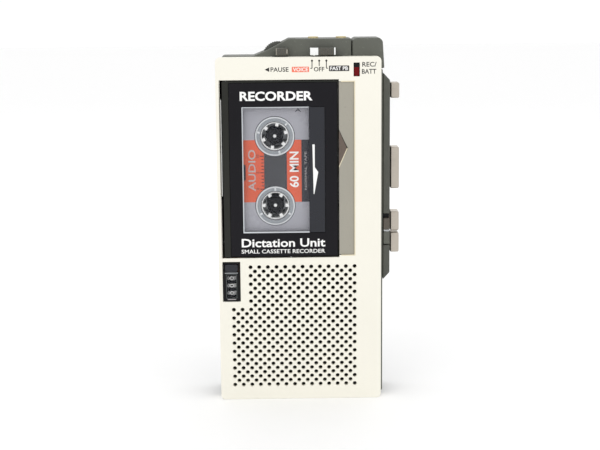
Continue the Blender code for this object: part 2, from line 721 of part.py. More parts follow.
def build_door():
    frame = box(
        "door_frame",
        (DOOR_LEFT, DOOR_FRONT + FIT, DOOR_BOTTOM), (DOOR_RIGHT, DOOR_BACK, DOOR_TOP), "olive",
    )
    panel_left = DOOR_LEFT + BEZEL_LEFT
    panel_right = DOOR_RIGHT - GAP
    panel_low, panel_high = DOOR_BOTTOM + GAP, DOOR_TOP - 2 * GAP
    panel_back = DOOR_FRONT + PANEL_THICKNESS
    window_left = panel_left + WINDOW_SIDE
    window_right = window_left + WINDOW_WIDTH
    window_high = DOOR_TOP - WINDOW_TOP
    window_low = window_high - WINDOW_HEIGHT
    recess = box(
        "panel_recess",
        (panel_left - FIT, DOOR_FRONT - GAP, panel_low - FIT),
        (panel_right + FIT, panel_back + GAP, panel_high + FIT),
    )
    frame_opening = box(
        "frame_opening",
        (window_left + GAP, DOOR_FRONT - GAP, window_low + GAP),
        (window_right - GAP, DOOR_BACK + GAP, window_high - GAP),
    )
    subtract(frame, recess, frame_opening)
    panel = box(
        "door_panel",
        (panel_left, DOOR_FRONT, panel_low), (panel_right, panel_back, panel_high), "gloss_black",
    )
    panel_opening = box(
        "panel_opening",
        (window_left, DOOR_FRONT - GAP, window_low), (window_right, DOOR_BACK, window_high),
    )
    subtract(panel, panel_opening)
    window = box(
        "door_window",
        (window_left + FIT, DOOR_FRONT, window_low + FIT),
        (window_right - FIT, panel_back, window_high - FIT), "clear",
    )
    on_axis("door_hinge", (HINGE_X, HINGE_Y, (DOOR_BOTTOM + DOOR_TOP) / 2), [frame, panel, window])
    pin_high = DOOR_TOP - HINGE_PIN_DROP
    cylinder(
        "door_hinge_pin", HINGE_PIN_RADIUS, pin_high - HINGE_PIN_LENGTH, pin_high,
        (HINGE_X, HINGE_Y, 0.0), "Z", PIN_STEPS, "steel",
    )


def build_latch_strip():
    strip = box(
        "latch_strip",
        (STRIP_LEFT, FRONT + STRIP_RECESS, DOOR_BOTTOM + STRIP_END_INSET),
        (STRIP_RIGHT, FRONT + STRIP_RECESS + STRIP_THICKNESS, DOOR_TOP - STRIP_END_INSET),
        "strip_grey",
    )
    middle = COVER_HEIGHT - NAIL_NOTCH_DROP
    half = NAIL_NOTCH_HEIGHT / 2
    notch = plate(
        "nail_notch",
        [
            (STRIP_LEFT - GAP, middle - half),
            (STRIP_LEFT + NAIL_NOTCH_REACH, middle),
            (STRIP_LEFT - GAP, middle + half),
        ],
        FRONT, FRONT + STRIP_RECESS + NAIL_NOTCH_DEPTH,
    )
    subtract(strip, notch)


def cassette_outline():
    """Cassette seen from the front, with a notch for each head and the pinch roller."""
    low = CASSETTE_Z - CASSETTE_LENGTH / 2
    high = CASSETTE_Z + CASSETTE_LENGTH / 2
    left = CASSETTE_X - CASSETTE_WIDTH / 2
    return rounded_rectangle(
        (left, low), (CASSETTE_EDGE, high), CORNER_RADIUS, CASSETTE_CORNER_STEPS,
    )


def head_places():
    """Centre height and half height of what enters the cassette's head edge."""
    return {
        "tape_head": (CASSETTE_Z, TAPE_HEAD_HALF_HEIGHT),
        "erase_head": (CASSETTE_Z + ERASE_HEAD_RISE, ERASE_HEAD_HALF_HEIGHT),
        "pinch_roller": (CAPSTAN_Z, PINCH_RADIUS),
    }


def build_cassette():
    outline = cassette_outline()
    halves = {
        "cassette_shell_front": (CASSETTE_FRONT, CASSETTE_MIDDLE - FIT),
        "cassette_shell_back": (CASSETTE_MIDDLE + FIT, CASSETTE_BACK),
    }
    for name, (low, high) in halves.items():
        shell = plate(name, outline, low, high, "shell_grey")
        hollow = plate(
            name + "_hollow", inset(outline, SHELL_WALL),
            CASSETTE_FRONT + SHELL_WALL, CASSETTE_BACK - SHELL_WALL,
        )
        subtract(shell, hollow)
        for z in (SUPPLY_Z, TAKEUP_Z):
            hole = cylinder(
                name + "_hub_hole", HUB_RADIUS + HUB_CLEARANCE, CASSETTE_FRONT - GAP,
                CASSETTE_BACK + GAP, (HUB_X, 0.0, z), steps=ROUND_STEPS,
            )
            subtract(shell, hole)
        for piece, (z, half) in head_places().items():
            depth = HEAD_NOTCH_DEPTH
            if piece == "pinch_roller":
                depth = CAPSTAN_INSET + CAPSTAN_RADIUS + GAP
            notch = box(
                name + "_" + piece + "_notch",
                (CASSETTE_EDGE - depth, CASSETTE_FRONT - GAP, z - half - GAP),
                (CASSETTE_EDGE + GAP, CASSETTE_BACK + GAP, z + half + GAP),
            )
            subtract(shell, notch)


def hub_bore_outline():
    """Round bore with square teeth that point inwards."""
    points = []
    half = HUB_TOOTH_WIDTH / 2
    inner = HUB_BORE - HUB_TOOTH_REACH
    pitch = 2 * math.pi / HUB_TEETH
    for index in range(HUB_TEETH):
        middle = index * pitch
        tip = math.asin(half / inner)
        foot = math.asin(half / HUB_BORE)
        polar = [(inner, middle - tip), (inner, middle + tip), (HUB_BORE, middle + foot)]
        polar += [(HUB_BORE, middle + pitch * share) for share in BORE_ARC_SHARES]
        polar.append((HUB_BORE, middle + pitch - foot))
        points += [(reach * math.cos(angle), reach * math.sin(angle)) for reach, angle in polar]
    return points


def build_reel(side, z, pack_radius):
    """Hub, tape pack, spindle and gear that turn together on one reel axis."""
    flange = HUB_RADIUS + HUB_FLANGE
    hub_front = CASSETTE_FRONT + HUB_RECESS
    hub_back = CASSETTE_BACK - HUB_RECESS
    step_front = CASSETTE_FRONT + SHELL_WALL + GAP
    step_back = CASSETTE_BACK - SHELL_WALL - GAP
    axis = (HUB_X, 0.0, z)
    hub = turned(
        side + "_hub",
        [
            (0.0, hub_back), (HUB_RADIUS, hub_back), (HUB_RADIUS, step_back), (flange, step_back),
            (flange, step_front), (HUB_RADIUS, step_front), (HUB_RADIUS, hub_front),
            (0.0, hub_front),
        ],
        axis, steps=ROUND_STEPS, finish="white",
    )
    bore = plate(
        side + "_hub_bore", hub_bore_outline(), CASSETTE_FRONT - GAP, CASSETTE_BACK + GAP,
        origin=(HUB_X, z),
    )
    subtract(hub, bore)
    tape = ring(
        side + "_tape", pack_radius, flange + GAP, CASSETTE_MIDDLE - TAPE_WIDTH / 2,
        CASSETTE_MIDDLE + TAPE_WIDTH / 2, axis, steps=FINE_STEPS, finish="tape_brown",
    )
    tip = CASSETTE_FRONT + SPINDLE_DROP
    neck = tip + SPINDLE_TIP_LENGTH
    shoulder = CASSETTE_BACK + GAP
    spindle = turned(
        side + "_spindle",
        [
            (0.0, DRIVE_BACK), (SPINDLE_SHAFT, DRIVE_BACK), (SPINDLE_SHAFT, shoulder),
            (SPINDLE_RADIUS, shoulder), (SPINDLE_RADIUS, tip + SPINDLE_NOSE),
            (SPINDLE_RADIUS / 2, neck), (SPINDLE_TIP_RADIUS, neck), (SPINDLE_TIP_RADIUS, tip),
            (0.0, tip),
        ],
        axis, finish="black",
    )
    gear = plate(
        side + "_gear", gear_outline(REEL_GEAR_RADIUS, REEL_GEAR_TEETH), DRIVE_FRONT, DRIVE_BACK,
        "white", origin=(HUB_X, z),
    )
    gear_bore = cylinder(
        side + "_gear_bore", SPINDLE_SHAFT + FIT, DRIVE_FRONT - GAP, DRIVE_BACK + GAP, axis,
    )
    subtract(gear, gear_bore)
    on_axis(side + "_reel_axis", axis, [hub, tape, spindle, gear])


def build_drive():
    idler_radius = HUB_SPACING / 2 - REEL_GEAR_RADIUS - FIT
    idler = plate(
        "idler_gear", gear_outline(idler_radius, IDLER_TEETH), DRIVE_FRONT, DRIVE_BACK, "white",
        origin=(HUB_X, CASSETTE_Z),
    )
    on_axis("idler_axis", (HUB_X, 0.0, CASSETTE_Z), [idler])
    axis = (CAPSTAN_X, 0.0, CAPSTAN_Z)
    flywheel = ring(
        "flywheel", FLYWHEEL_RADIUS, CAPSTAN_RADIUS + CAPSTAN_FIT, DRIVE_FRONT, DRIVE_BACK, axis,
        steps=FINE_STEPS, finish="brass",
    )
    capstan = cylinder(
        "capstan", CAPSTAN_RADIUS, CASSETTE_FRONT + SHELL_WALL, DRIVE_BACK, axis,
        steps=SMALL_STEPS, finish="steel",
    )
    on_axis("capstan_axis", axis, [flywheel, capstan])
    motor_axis = (MOTOR_X, 0.0, MOTOR_Z)
    motor_front = CHASSIS_BACK - MOTOR_LENGTH - GAP
    cylinder(
        "motor", MOTOR_RADIUS, motor_front, CHASSIS_BACK - GAP, motor_axis, steps=ROUND_STEPS,
        finish="steel",
    )
    pulley = cylinder(
        "motor_pulley", PULLEY_RADIUS, DRIVE_FRONT, DRIVE_BACK, motor_axis, finish="brass",
    )
    on_axis("motor_axis", motor_axis, [pulley])
    build_belt()


def belt_outline(clearance):
    """Loop of two arcs and two straight tangents round flywheel and pulley."""
    big = FLYWHEEL_RADIUS + clearance
    small = PULLEY_RADIUS + clearance
    run = Vector((MOTOR_X - CAPSTAN_X, MOTOR_Z - CAPSTAN_Z))
    heading = math.atan2(run.y, run.x)
    wrap = math.acos((big - small) / run.length)
    points = []
    for index in range(BELT_STEPS + 1):
        angle = heading + wrap + (2 * math.pi - 2 * wrap) * index / BELT_STEPS
        points.append((CAPSTAN_X + big * math.cos(angle), CAPSTAN_Z + big * math.sin(angle)))
    steps = BELT_STEPS // 2
    for index in range(steps + 1):
        angle = heading - wrap + 2 * wrap * index / steps
        points.append((MOTOR_X + small * math.cos(angle), MOTOR_Z + small * math.sin(angle)))
    return points


def build_belt():
    middle = (DRIVE_FRONT + DRIVE_BACK) / 2
    low, high = middle - BELT_WIDTH / 2, middle + BELT_WIDTH / 2
    belt = plate("drive_belt", belt_outline(FIT + BELT_THICKNESS), low, high, "rubber")
    inside = plate("belt_inside", belt_outline(FIT), low - GAP, high + GAP)
    subtract(belt, inside)


def build_head_carriage():
    """Slide that the play key pushes towards the tape, with both heads and the pinch roller."""
    slide_front = CASSETTE_MIDDLE - SLIDE_FRONT
    slide = box(
        "head_slide",
        (SLIDE_LEFT, slide_front, CAPSTAN_Z - PINCH_RADIUS - SLIDE_FOOT),
        (SLIDE_RIGHT, CASSETTE_BACK, CASSETTE_Z + SLIDE_RISE), "steel",
    )
    pieces = [slide]
    places = head_places()
    for name, finish in (("tape_head", "steel"), ("erase_head", "black")):
        z, half = places[name]
        pieces.append(box(
            name,
            (CARRIAGE_X, CASSETTE_MIDDLE - TAPE_WIDTH / 2, z - half),
            (CARRIAGE_X + HEAD_DEPTH, CASSETTE_MIDDLE + TAPE_WIDTH / 2, z + half),
            finish, edge=HEAD_EDGE,
        ))
    roller_x = CARRIAGE_X + PINCH_RADIUS
    arm_front = CASSETTE_MIDDLE + PINCH_LENGTH / 2 + GAP
    pieces.append(box(
        "pinch_arm",
        (roller_x - ARM_REACH, arm_front, CAPSTAN_Z - ARM_HALF_HEIGHT),
        (SLIDE_LEFT - FIT, arm_front + ARM_THICKNESS, CAPSTAN_Z + ARM_HALF_HEIGHT), "steel",
    ))
    roller = ring(
        "pinch_roller", PINCH_RADIUS, PINCH_BORE, CASSETTE_MIDDLE - PINCH_LENGTH / 2,
        CASSETTE_MIDDLE + PINCH_LENGTH / 2, (roller_x, 0.0, CAPSTAN_Z), finish="rubber",
    )
    notch = box(
        "slide_roller_notch",
        (SLIDE_LEFT - GAP, slide_front - GAP, CAPSTAN_Z - PINCH_RADIUS - GAP),
        (roller_x + PINCH_RADIUS + GAP, arm_front - FIT, CAPSTAN_Z + PINCH_RADIUS + GAP),
    )
    subtract(slide, notch)
    on_axis("head_carriage_slide", (CARRIAGE_X, 0.0, CASSETTE_Z), pieces)
    on_axis("pinch_roller_axis", (roller_x, 0.0, CAPSTAN_Z), [roller])


def build_chassis():
    chassis = box(
        "chassis_plate",
        (LEFT + WALL + 2 * GAP, CHASSIS_FRONT, DRIVE_FLOOR),
        (RIGHT - WALL - 2 * GAP, CHASSIS_BACK, DOOR_TOP), "steel",
    )
    holes = {
        "supply_hole": (HUB_X, SUPPLY_Z, SPINDLE_SHAFT + GAP),
        "takeup_hole": (HUB_X, TAKEUP_Z, SPINDLE_SHAFT + GAP),
        "capstan_hole": (CAPSTAN_X, CAPSTAN_Z, CAPSTAN_RADIUS + GAP),
    }
    for name, (x, z, radius) in holes.items():
        hole = cylinder(
            name, radius, CHASSIS_FRONT - GAP, CHASSIS_BACK + GAP, (x, 0.0, z), steps=SMALL_STEPS,
        )
        subtract(chassis, hole)
    box(
        "circuit_board",
        (LEFT + WALL + BOARD_SIDE, BOARD_FRONT, DRIVE_FLOOR),
        (RIGHT - WALL - BOARD_SIDE, BOARD_FRONT + BOARD_THICKNESS, DOOR_TOP - BOARD_SIDE),
        "board_green",
    )


def stem_low(lower):
    return COVER_HEIGHT - lower + KEY_STEM_INSET


def stem_high(upper):
    return COVER_HEIGHT - upper - KEY_STEM_INSET


def build_keys():
    for name, (lower, upper) in KEY_SPANS.items():
        key = box(
            name,
            (KEY_LEFT, KEY_MIDDLE - KEY_BUTTON_DEPTH / 2, COVER_HEIGHT - lower),
            (KEY_RIGHT, KEY_MIDDLE + KEY_BUTTON_DEPTH / 2, COVER_HEIGHT - upper),
            "nickel", edge=KEY_EDGE,
        )
        clearance = GAP if name == "play_key" else 2 * GAP + KEY_TRAVEL
        stem = box(
            name + "_stem",
            (SLIDE_RIGHT + clearance, KEY_STEM_FRONT, stem_low(lower)),
            (KEY_LEFT + KEY_STEM_OVERLAP, KEY_STEM_BACK, stem_high(upper)),
        )
        unite(key, stem)


def build_key_rail():
    low = COVER_HEIGHT - RAIL_SPAN[0]
    high = COVER_HEIGHT - RAIL_SPAN[1]
    outline = [
        (RAIL_LEFT, low),
        (RAIL_RIGHT, low + RAIL_CHAMFER),
        (RAIL_RIGHT, high - RAIL_CHAMFER),
        (RAIL_LEFT, high),
    ]
    rail = plate("key_rail", outline, RAIL_FRONT, RAIL_FRONT + RAIL_DEPTH, "olive")
    for name, (lower, upper) in KEY_SPANS.items():
        hole = box(
            name + "_rail_hole",
            (RAIL_LEFT - GAP, KEY_MIDDLE - KEY_BUTTON_DEPTH / 2 - GAP, COVER_HEIGHT - lower - GAP),
            (KEY_RIGHT, KEY_MIDDLE + KEY_BUTTON_DEPTH / 2 + GAP, COVER_HEIGHT - upper + GAP),
        )
        subtract(rail, hole)
    switch_low = COVER_HEIGHT - SWITCH_SPAN[0]
    switch_high = COVER_HEIGHT - SWITCH_SPAN[1]
    slot = box(
        "switch_slot",
        (RAIL_LEFT - GAP, RAIL_FRONT - GAP, switch_low - GAP),
        (KEY_RIGHT, RAIL_FRONT + SWITCH_DEPTH + GAP, switch_high + SWITCH_TRAVEL + GAP),
    )
    subtract(rail, slot)
    box(
        "speed_switch",
        (RAIL_LEFT + FIT, RAIL_FRONT, switch_low),
        (RAIL_RIGHT, RAIL_FRONT + SWITCH_DEPTH, switch_high), "olive", edge=SOFT_EDGE,
    )


def build_counter():
    left = LEFT + COUNTER_SIDE + FIT
    right = LEFT + COUNTER_SIDE + COUNTER_WIDTH - FIT
    low = COUNTER_BOTTOM + FIT
    high = COUNTER_BOTTOM + COUNTER_HEIGHT - FIT
    middle = (left + right) / 2
    bezel = box("counter_bezel", (left, FRONT, low), (right, FRONT + WALL, high), "black")
    reset_high = high - COUNTER_LIP / 2
    reset_low = reset_high - RESET_HEIGHT
    opening = box(
        "counter_opening",
        (left + COUNTER_LIP, FRONT - GAP, low + COUNTER_LIP),
        (right - COUNTER_LIP, FRONT + WALL + GAP, reset_low - COUNTER_LIP),
    )
    reset_hole = box(
        "reset_hole",
        (left + COUNTER_LIP / 2 - FIT, FRONT - GAP, reset_low - FIT),
        (right - COUNTER_LIP / 2 + FIT, FRONT + WALL + GAP, reset_high + FIT),
    )
    subtract(bezel, opening, reset_hole)
    box(
        "counter_reset_button",
        (left + COUNTER_LIP / 2, FRONT - RESET_PROUD, reset_low),
        (right - COUNTER_LIP / 2, FRONT - RESET_PROUD + RESET_LENGTH, reset_high),
        "strip_grey", edge=SOFT_EDGE,
    )
    drum_y = FRONT + WALL + 2 * GAP + DRUM_RADIUS
    centre_z = (low + COUNTER_LIP + reset_low - COUNTER_LIP) / 2
    for index, name in enumerate(("hundreds", "tens", "units")):
        z = centre_z + (1 - index) * DRUM_PITCH
        axis = (middle, drum_y, z)
        drum = ring(
            "counter_drum_" + name, DRUM_RADIUS, DRUM_AXLE_RADIUS + FIT, -DRUM_WIDTH / 2,
            DRUM_WIDTH / 2, axis, "Z", BARREL_STEPS, "black",
        )
        on_axis("counter_axis_" + name, axis, [drum])
    cylinder(
        "counter_axle", DRUM_AXLE_RADIUS, centre_z - 2 * DRUM_PITCH, centre_z + 2 * DRUM_PITCH,
        (middle, drum_y, 0.0), "Z", PIN_STEPS, "steel",
    )


def build_top_controls():
    knob_back = PARTING - GAP
    for name, (far, near) in (("pause_slider", PAUSE_SPAN), ("mode_slider", MODE_SPAN)):
        knob = box(
            name,
            (RIGHT - far, knob_back - SLIDER_DEPTH, COVER_HEIGHT + GAP),
            (RIGHT - near, knob_back, COVER_HEIGHT + GAP + SLIDER_HEIGHT), "olive", edge=SOFT_EDGE,
        )
        left, right = stem_span(far, near)
        stem = box(
            name + "_stem",
            (left, stem_front(), COVER_HEIGHT - SLIDER_STEM_LENGTH),
            (right, knob_back, COVER_HEIGHT + SLIDER_HEIGHT / 2),
        )
        unite(knob, stem)
    points = []
    for index in range(2 * DIAL_RIBS):
        reach = DIAL_RADIUS - (index % 2) * DIAL_RIB_DEPTH
        angle = math.pi * index / DIAL_RIBS
        points.append((reach * math.cos(angle), reach * math.sin(angle)))
    dial = plate(
        "volume_dial", points, -DIAL_THICKNESS / 2, DIAL_THICKNESS / 2, "olive",
        origin=(DIAL_X, DIAL_Z),
    )
    on_axis("volume_axis", (DIAL_X, 0.0, DIAL_Z), [dial])


def build_jacks():
    for name, from_right in JACK_POSITIONS.items():
        x = RIGHT - from_right
        body_top = CASE_TOP - WALL - GAP
        jack = box(
            name,
            (x - JACK_BODY_WIDTH / 2, -JACK_BODY_DEPTH / 2, body_top - JACK_BODY_HEIGHT),
            (x + JACK_BODY_WIDTH / 2, JACK_BODY_DEPTH / 2, body_top), "brass",
        )
        collar = cylinder(
            name + "_collar", JACK_RADIUS, body_top - WALL, CASE_TOP + JACK_PROUD, (x, 0.0, 0.0),
            "Z", BARREL_STEPS,
        )
        bore = cylinder(
            name + "_bore", JACK_BORE, body_top - JACK_BODY_HEIGHT + WALL,
            CASE_TOP + JACK_PROUD + GAP, (x, 0.0, 0.0), "Z", BARREL_STEPS,
        )
        unite(jack, collar)
        subtract(jack, bore)


def build_microphone():
    left = CASE_RIGHT - MIC_BLOCK_WIDTH
    low = COVER_HEIGHT - MIC_BLOCK_DROP + GAP
    high = CASE_TOP + MIC_BLOCK_RISE
    foot = CASE_RIGHT + MIC_BLOCK_FLARE
    outline = [
        (left, low), (foot, low), (CASE_RIGHT, high - MIC_BLOCK_CHAMFER),
        (CASE_RIGHT - MIC_BLOCK_CHAMFER, high), (left + MIC_BLOCK_CHAMFER, high),
        (left, high - MIC_BLOCK_CHAMFER),
    ]
    housing = plate("microphone_housing", outline, PARTING + FIT, BACK, "olive")
    middle = (left + CASE_RIGHT) / 2
    pocket = cylinder(
        "microphone_pocket", MIC_RADIUS + GAP, low - GAP, low + MIC_LENGTH + 2 * GAP,
        (middle, 0.0, 0.0), "Z", BARREL_STEPS,
    )
    sound_hole = cylinder(
        "microphone_sound_hole", MIC_HOLE_RADIUS, low, high + GAP, (middle, 0.0, 0.0), "Z",
        PIN_STEPS,
    )
    subtract(housing, pocket, sound_hole)
    cylinder(
        "microphone_capsule", MIC_RADIUS, low + GAP, low + GAP + MIC_LENGTH, (middle, 0.0, 0.0),
        "Z", BARREL_STEPS, "steel",
    )


def build_speaker():
    """Basket with its magnet behind a shallow paper cone, pressed behind the sound holes."""
    front = FRONT + WALL + GAP
    rim = front + SPEAKER_RIM_DEPTH
    back = front + SPEAKER_DEPTH
    magnet = back - MAGNET_DEPTH
    basket = magnet - BASKET_WALL
    cone_back = basket - CONE_CLEARANCE
    cone_radius = MAGNET_RADIUS - BASKET_WALL - CONE_THICKNESS
    inner = SPEAKER_RADIUS - SPEAKER_RIM
    axis = (SPEAKER_X, 0.0, SPEAKER_Z)
    turned(
        "speaker_frame",
        [
            (0.0, back), (MAGNET_RADIUS, back), (MAGNET_RADIUS, magnet),
            (SPEAKER_RADIUS - BASKET_STEP, rim), (SPEAKER_RADIUS, rim), (SPEAKER_RADIUS, front),
            (inner, front), (inner, rim - BASKET_WALL), (MAGNET_RADIUS - BASKET_WALL, basket),
            (0.0, basket),
        ],
        axis, steps=FINE_STEPS, finish="black",
    )
    turned(
        "speaker_cone",
        [
            (0.0, cone_back), (cone_radius, cone_back),
            (inner - GAP, rim - BASKET_WALL - CONE_CLEARANCE), (inner - GAP, front),
            (cone_radius, cone_back - CONE_THICKNESS), (0.0, cone_back - CONE_THICKNESS),
        ],
        axis, steps=FINE_STEPS, finish="paper",
    )


def build_batteries():
    """Two cells side by side, one each way up: a spring below one and a strap across both."""
    low, high = BATTERY_FLOOR, BATTERY_TOP
    for name, x, flip in (
        ("battery_left", BATTERY_LEFT_X, False), ("battery_right", BATTERY_RIGHT_X, True),
    ):
        shoulder = high - BATTERY_NUB_LENGTH
        profile = [
            (0.0, high), (BATTERY_NUB_RADIUS, high), (BATTERY_NUB_RADIUS, shoulder),
            (BATTERY_RADIUS, shoulder), (BATTERY_RADIUS, low), (0.0, low),
        ]
        if flip:
            profile = [(radius, low + high - height) for radius, height in reversed(profile)]
        turned(name, profile, (x, BATTERY_Y, 0.0), "Z", finish="cell_jacket")
    build_spring()
    box(
        "battery_strap",
        (BATTERY_LEFT_X - STRAP_MARGIN, CASSETTE_BACK + GAP, high + GAP),
        (BATTERY_RIGHT_X + STRAP_MARGIN, BACK - WALL - GAP, high + GAP + STRAP_THICKNESS), "steel",
    )


def build_spring():
    room = GAP + SPRING_WIRE_RADIUS
    low, high = WALL + room, BATTERY_FLOOR - room
    steps = SPRING_STEPS * SPRING_TURNS
    name = "battery_spring"
    curve = bpy.data.curves.new(name, "CURVE")
    curve.dimensions = "3D"
    curve.bevel_depth = SPRING_WIRE_RADIUS
    curve.bevel_resolution = 1
    curve.use_fill_caps = True
    spline = curve.splines.new("POLY")
    spline.points.add(steps)
    for index, point in enumerate(spline.points):
        share = index / steps
        angle = 2 * math.pi * SPRING_TURNS * share
        radius = SPRING_RADIUS * (1.0 - SPRING_TAPER * share)
        point.co = (radius * math.cos(angle), radius * math.sin(angle), share * (high - low), 1.0)
    guide = bpy.data.objects.new(name, curve)
    bpy.context.scene.collection.objects.link(guide)
    guide.location = (BATTERY_LEFT_X, BATTERY_Y, low)
    mesh_from_curve(name, guide, "steel")


def main():
    build_front_cover()
    build_rear_case()
    build_screws()
    build_battery_cover()
    build_door()
    build_latch_strip()
    build_cassette()
    build_reel("supply", SUPPLY_Z, SUPPLY_PACK_RADIUS)
    build_reel("takeup", TAKEUP_Z, TAKEUP_PACK_RADIUS)
    build_drive()
    build_head_carriage()
    build_chassis()
    build_keys()
    build_key_rail()
    build_counter()
    build_top_controls()
    build_jacks()
    build_microphone()
    build_speaker()
    build_batteries()


main()
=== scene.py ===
"""Looks of the pocket tape recorder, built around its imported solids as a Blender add-on."""
import math

import bmesh
import bpy
from bpy.props import FloatProperty, FloatVectorProperty, IntProperty, PointerProperty
from mathutils import Matrix, Vector


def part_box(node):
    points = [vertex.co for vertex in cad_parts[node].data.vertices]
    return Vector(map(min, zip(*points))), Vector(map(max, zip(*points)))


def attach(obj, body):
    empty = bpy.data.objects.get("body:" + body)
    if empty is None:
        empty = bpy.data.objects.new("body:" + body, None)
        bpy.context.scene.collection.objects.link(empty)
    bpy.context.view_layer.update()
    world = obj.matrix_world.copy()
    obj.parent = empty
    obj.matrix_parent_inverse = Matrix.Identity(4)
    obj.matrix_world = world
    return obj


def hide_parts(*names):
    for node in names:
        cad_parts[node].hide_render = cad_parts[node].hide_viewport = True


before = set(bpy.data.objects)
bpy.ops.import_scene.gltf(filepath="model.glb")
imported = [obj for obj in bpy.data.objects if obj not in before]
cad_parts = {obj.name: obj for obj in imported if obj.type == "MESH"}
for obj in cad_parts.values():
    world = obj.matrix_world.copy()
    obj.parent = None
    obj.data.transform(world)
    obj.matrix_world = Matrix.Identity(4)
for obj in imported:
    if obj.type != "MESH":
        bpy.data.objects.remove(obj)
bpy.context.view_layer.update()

bl_info = {
    "name": "Pocket Tape Recorder",
    "version": (1, 0, 0),
    "blender": (4, 5, 0),
    "location": "3D View > Sidebar > Recorder",
    "description": "Builds the finished surfaces of a pocket tape recorder around its solids",
    "category": "Object",
}

MM = 0.001

# Clearances and roundings shared by many pieces
GAP = 0.3 * MM                # between pieces that move or meet
FIT = 0.15 * MM               # round inserts
LINE_EDGE = 0.02 * MM         # rounding of fine inlaid lines
THIN_EDGE = 0.05 * MM         # rounding of thin moulded edges
SMALL_EDGE = 0.08 * MM        # rounding of small mouldings
MOULD_EDGE = 0.12 * MM        # rounding of larger mouldings
WALL = 1.2 * MM               # moulded walls of the cover
COVER_CORNER = 1.4 * MM
WELD = 0.001 * MM             # points closer than this are one
FINE_WELD = 0.0005 * MM
SHARP_ANGLE = math.radians(35.0)      # faces that turn more than this meet in a hard edge
THIN_SHARE = 0.45             # most of a block's thickness that one rounding takes
SHORT_EDGE = 1.2              # edges shorter than this many roundings stay sharp
FLAT_ANGLE = math.radians(1.0)        # faces that turn less than this are one
FOLD_ANGLE = math.radians(5.0)        # keeps the slight folds of a shallow pocket hard
QUARTER_TURN = math.pi / 2


def linear(red, green, blue):
    """Linear colour from 0-255 display values."""
    def channel(value):
        value /= 255.0
        return value / 12.92 if value <= 0.04045 else ((value + 0.055) / 1.055) ** 2.4
    return channel(red), channel(green), channel(blue)


# ---------------------------------------------------------------- user settings

def size_setting(name, text, millimetres):
    return FloatProperty(
        name=name, description=text, default=millimetres * MM, min=0.0, unit="LENGTH", precision=5,
    )


def colour_setting(name, text, colour):
    return FloatVectorProperty(
        name=name, description=text, default=colour, subtype="COLOR", size=3, min=0.0, max=1.0,
    )


class RecorderSizes(bpy.types.PropertyGroup):
    hole_pitch: size_setting("Hole pitch", "Distance between sound holes in a row", 2.728)
    hole_radius: size_setting("Hole radius", "Radius of one sound hole", 0.63)
    edge_radius: size_setting("Edge radius", "Rounding of the cover's edges", 0.1)
    ink_thickness: size_setting("Ink thickness", "Thickness of printed marks", 0.02)
    hole_sides: IntProperty(
        name="Hole sides", description="Sides that make one round sound hole", default=16, min=8,
    )
    light_power: FloatProperty(
        name="Light power", description="Power of the main soft light", default=0.9, unit="POWER",
    )
    world_light: FloatProperty(
        name="World light", description="Strength of the even light from all round", default=1.03,
    )


class RecorderColours(bpy.types.PropertyGroup):
    ivory: colour_setting("Ivory", "Front cover moulding", linear(239, 236, 224))
    olive: colour_setting("Olive", "Rear case moulding", linear(89, 91, 83))
    gloss: colour_setting("Gloss black", "Door panel", linear(24, 23, 27))
    bezel: colour_setting("Bezel", "Door frame", linear(33, 34, 29))
    strip: colour_setting("Strip", "Latch strip beside the door", linear(158, 154, 142))
    key: colour_setting("Key", "Plated keys", linear(190, 182, 171))
    shell: colour_setting("Shell", "Cassette shell", linear(170, 170, 178))
    label: colour_setting("Label", "Cassette label", linear(222, 98, 66))
    navy: colour_setting("Navy", "Printed band on the window", linear(9, 13, 26))
    salmon: colour_setting("Salmon", "Voice mark on the cover", linear(236, 120, 92))
    lens: colour_setting("Lens", "Indicator lens", linear(98, 6, 10))


# ---------------------------------------------------------------- materials

def start_material(name):
    """Empty node material with a Principled shader. Returns the material, tree and shader."""
    material = bpy.data.materials.new(name)
    material.use_nodes = True
    tree = material.node_tree
    return material, tree, tree.nodes["Principled BSDF"]


def noise(tree, scale, detail=3.0, stretch=None):
    """Noise in object space. Stretch scales it along each axis, for drawn or brushed marks."""
    coords = tree.nodes.new("ShaderNodeTexCoord")
    texture = tree.nodes.new("ShaderNodeTexNoise")
    texture.inputs["Scale"].default_value = scale
    texture.inputs["Detail"].default_value = detail
    source = coords.outputs["Object"]
    if stretch:
        mapping = tree.nodes.new("ShaderNodeMapping")
        mapping.inputs["Scale"].default_value = stretch
        tree.links.new(source, mapping.inputs["Vector"])
        source = mapping.outputs["Vector"]
    tree.links.new(source, texture.inputs["Vector"])
    return texture.outputs["Fac"]


def ranged(tree, source, low, high, start=0.3, end=0.7):
    node = tree.nodes.new("ShaderNodeMapRange")
    node.inputs["From Min"].default_value = start
    node.inputs["From Max"].default_value = end
    node.inputs["To Min"].default_value = low
    node.inputs["To Max"].default_value = high
    tree.links.new(source, node.inputs["Value"])
    return node.outputs["Result"]


def mixed(tree, factor, first, second):
    """Blend two colours, each a tuple or another node's output."""
    node = tree.nodes.new("ShaderNodeMix")
    node.data_type = "RGBA"
    tree.links.new(factor, node.inputs["Factor"])
    for socket, value in ((node.inputs[6], first), (node.inputs[7], second)):
        if isinstance(value, tuple):
            socket.default_value = (*value, 1.0)
        else:
            tree.links.new(value, socket)
    return node.outputs[2]


def shade(colour, factor):
    return tuple(min(1.0, channel * factor) for channel in colour)


def add_bump(tree, shader, source, strength, distance):
    bump = tree.nodes.new("ShaderNodeBump")
    bump.inputs["Strength"].default_value = strength
    bump.inputs["Distance"].default_value = distance
    tree.links.new(source, bump.inputs["Height"])
    tree.links.new(bump.outputs["Normal"], shader.inputs["Normal"])


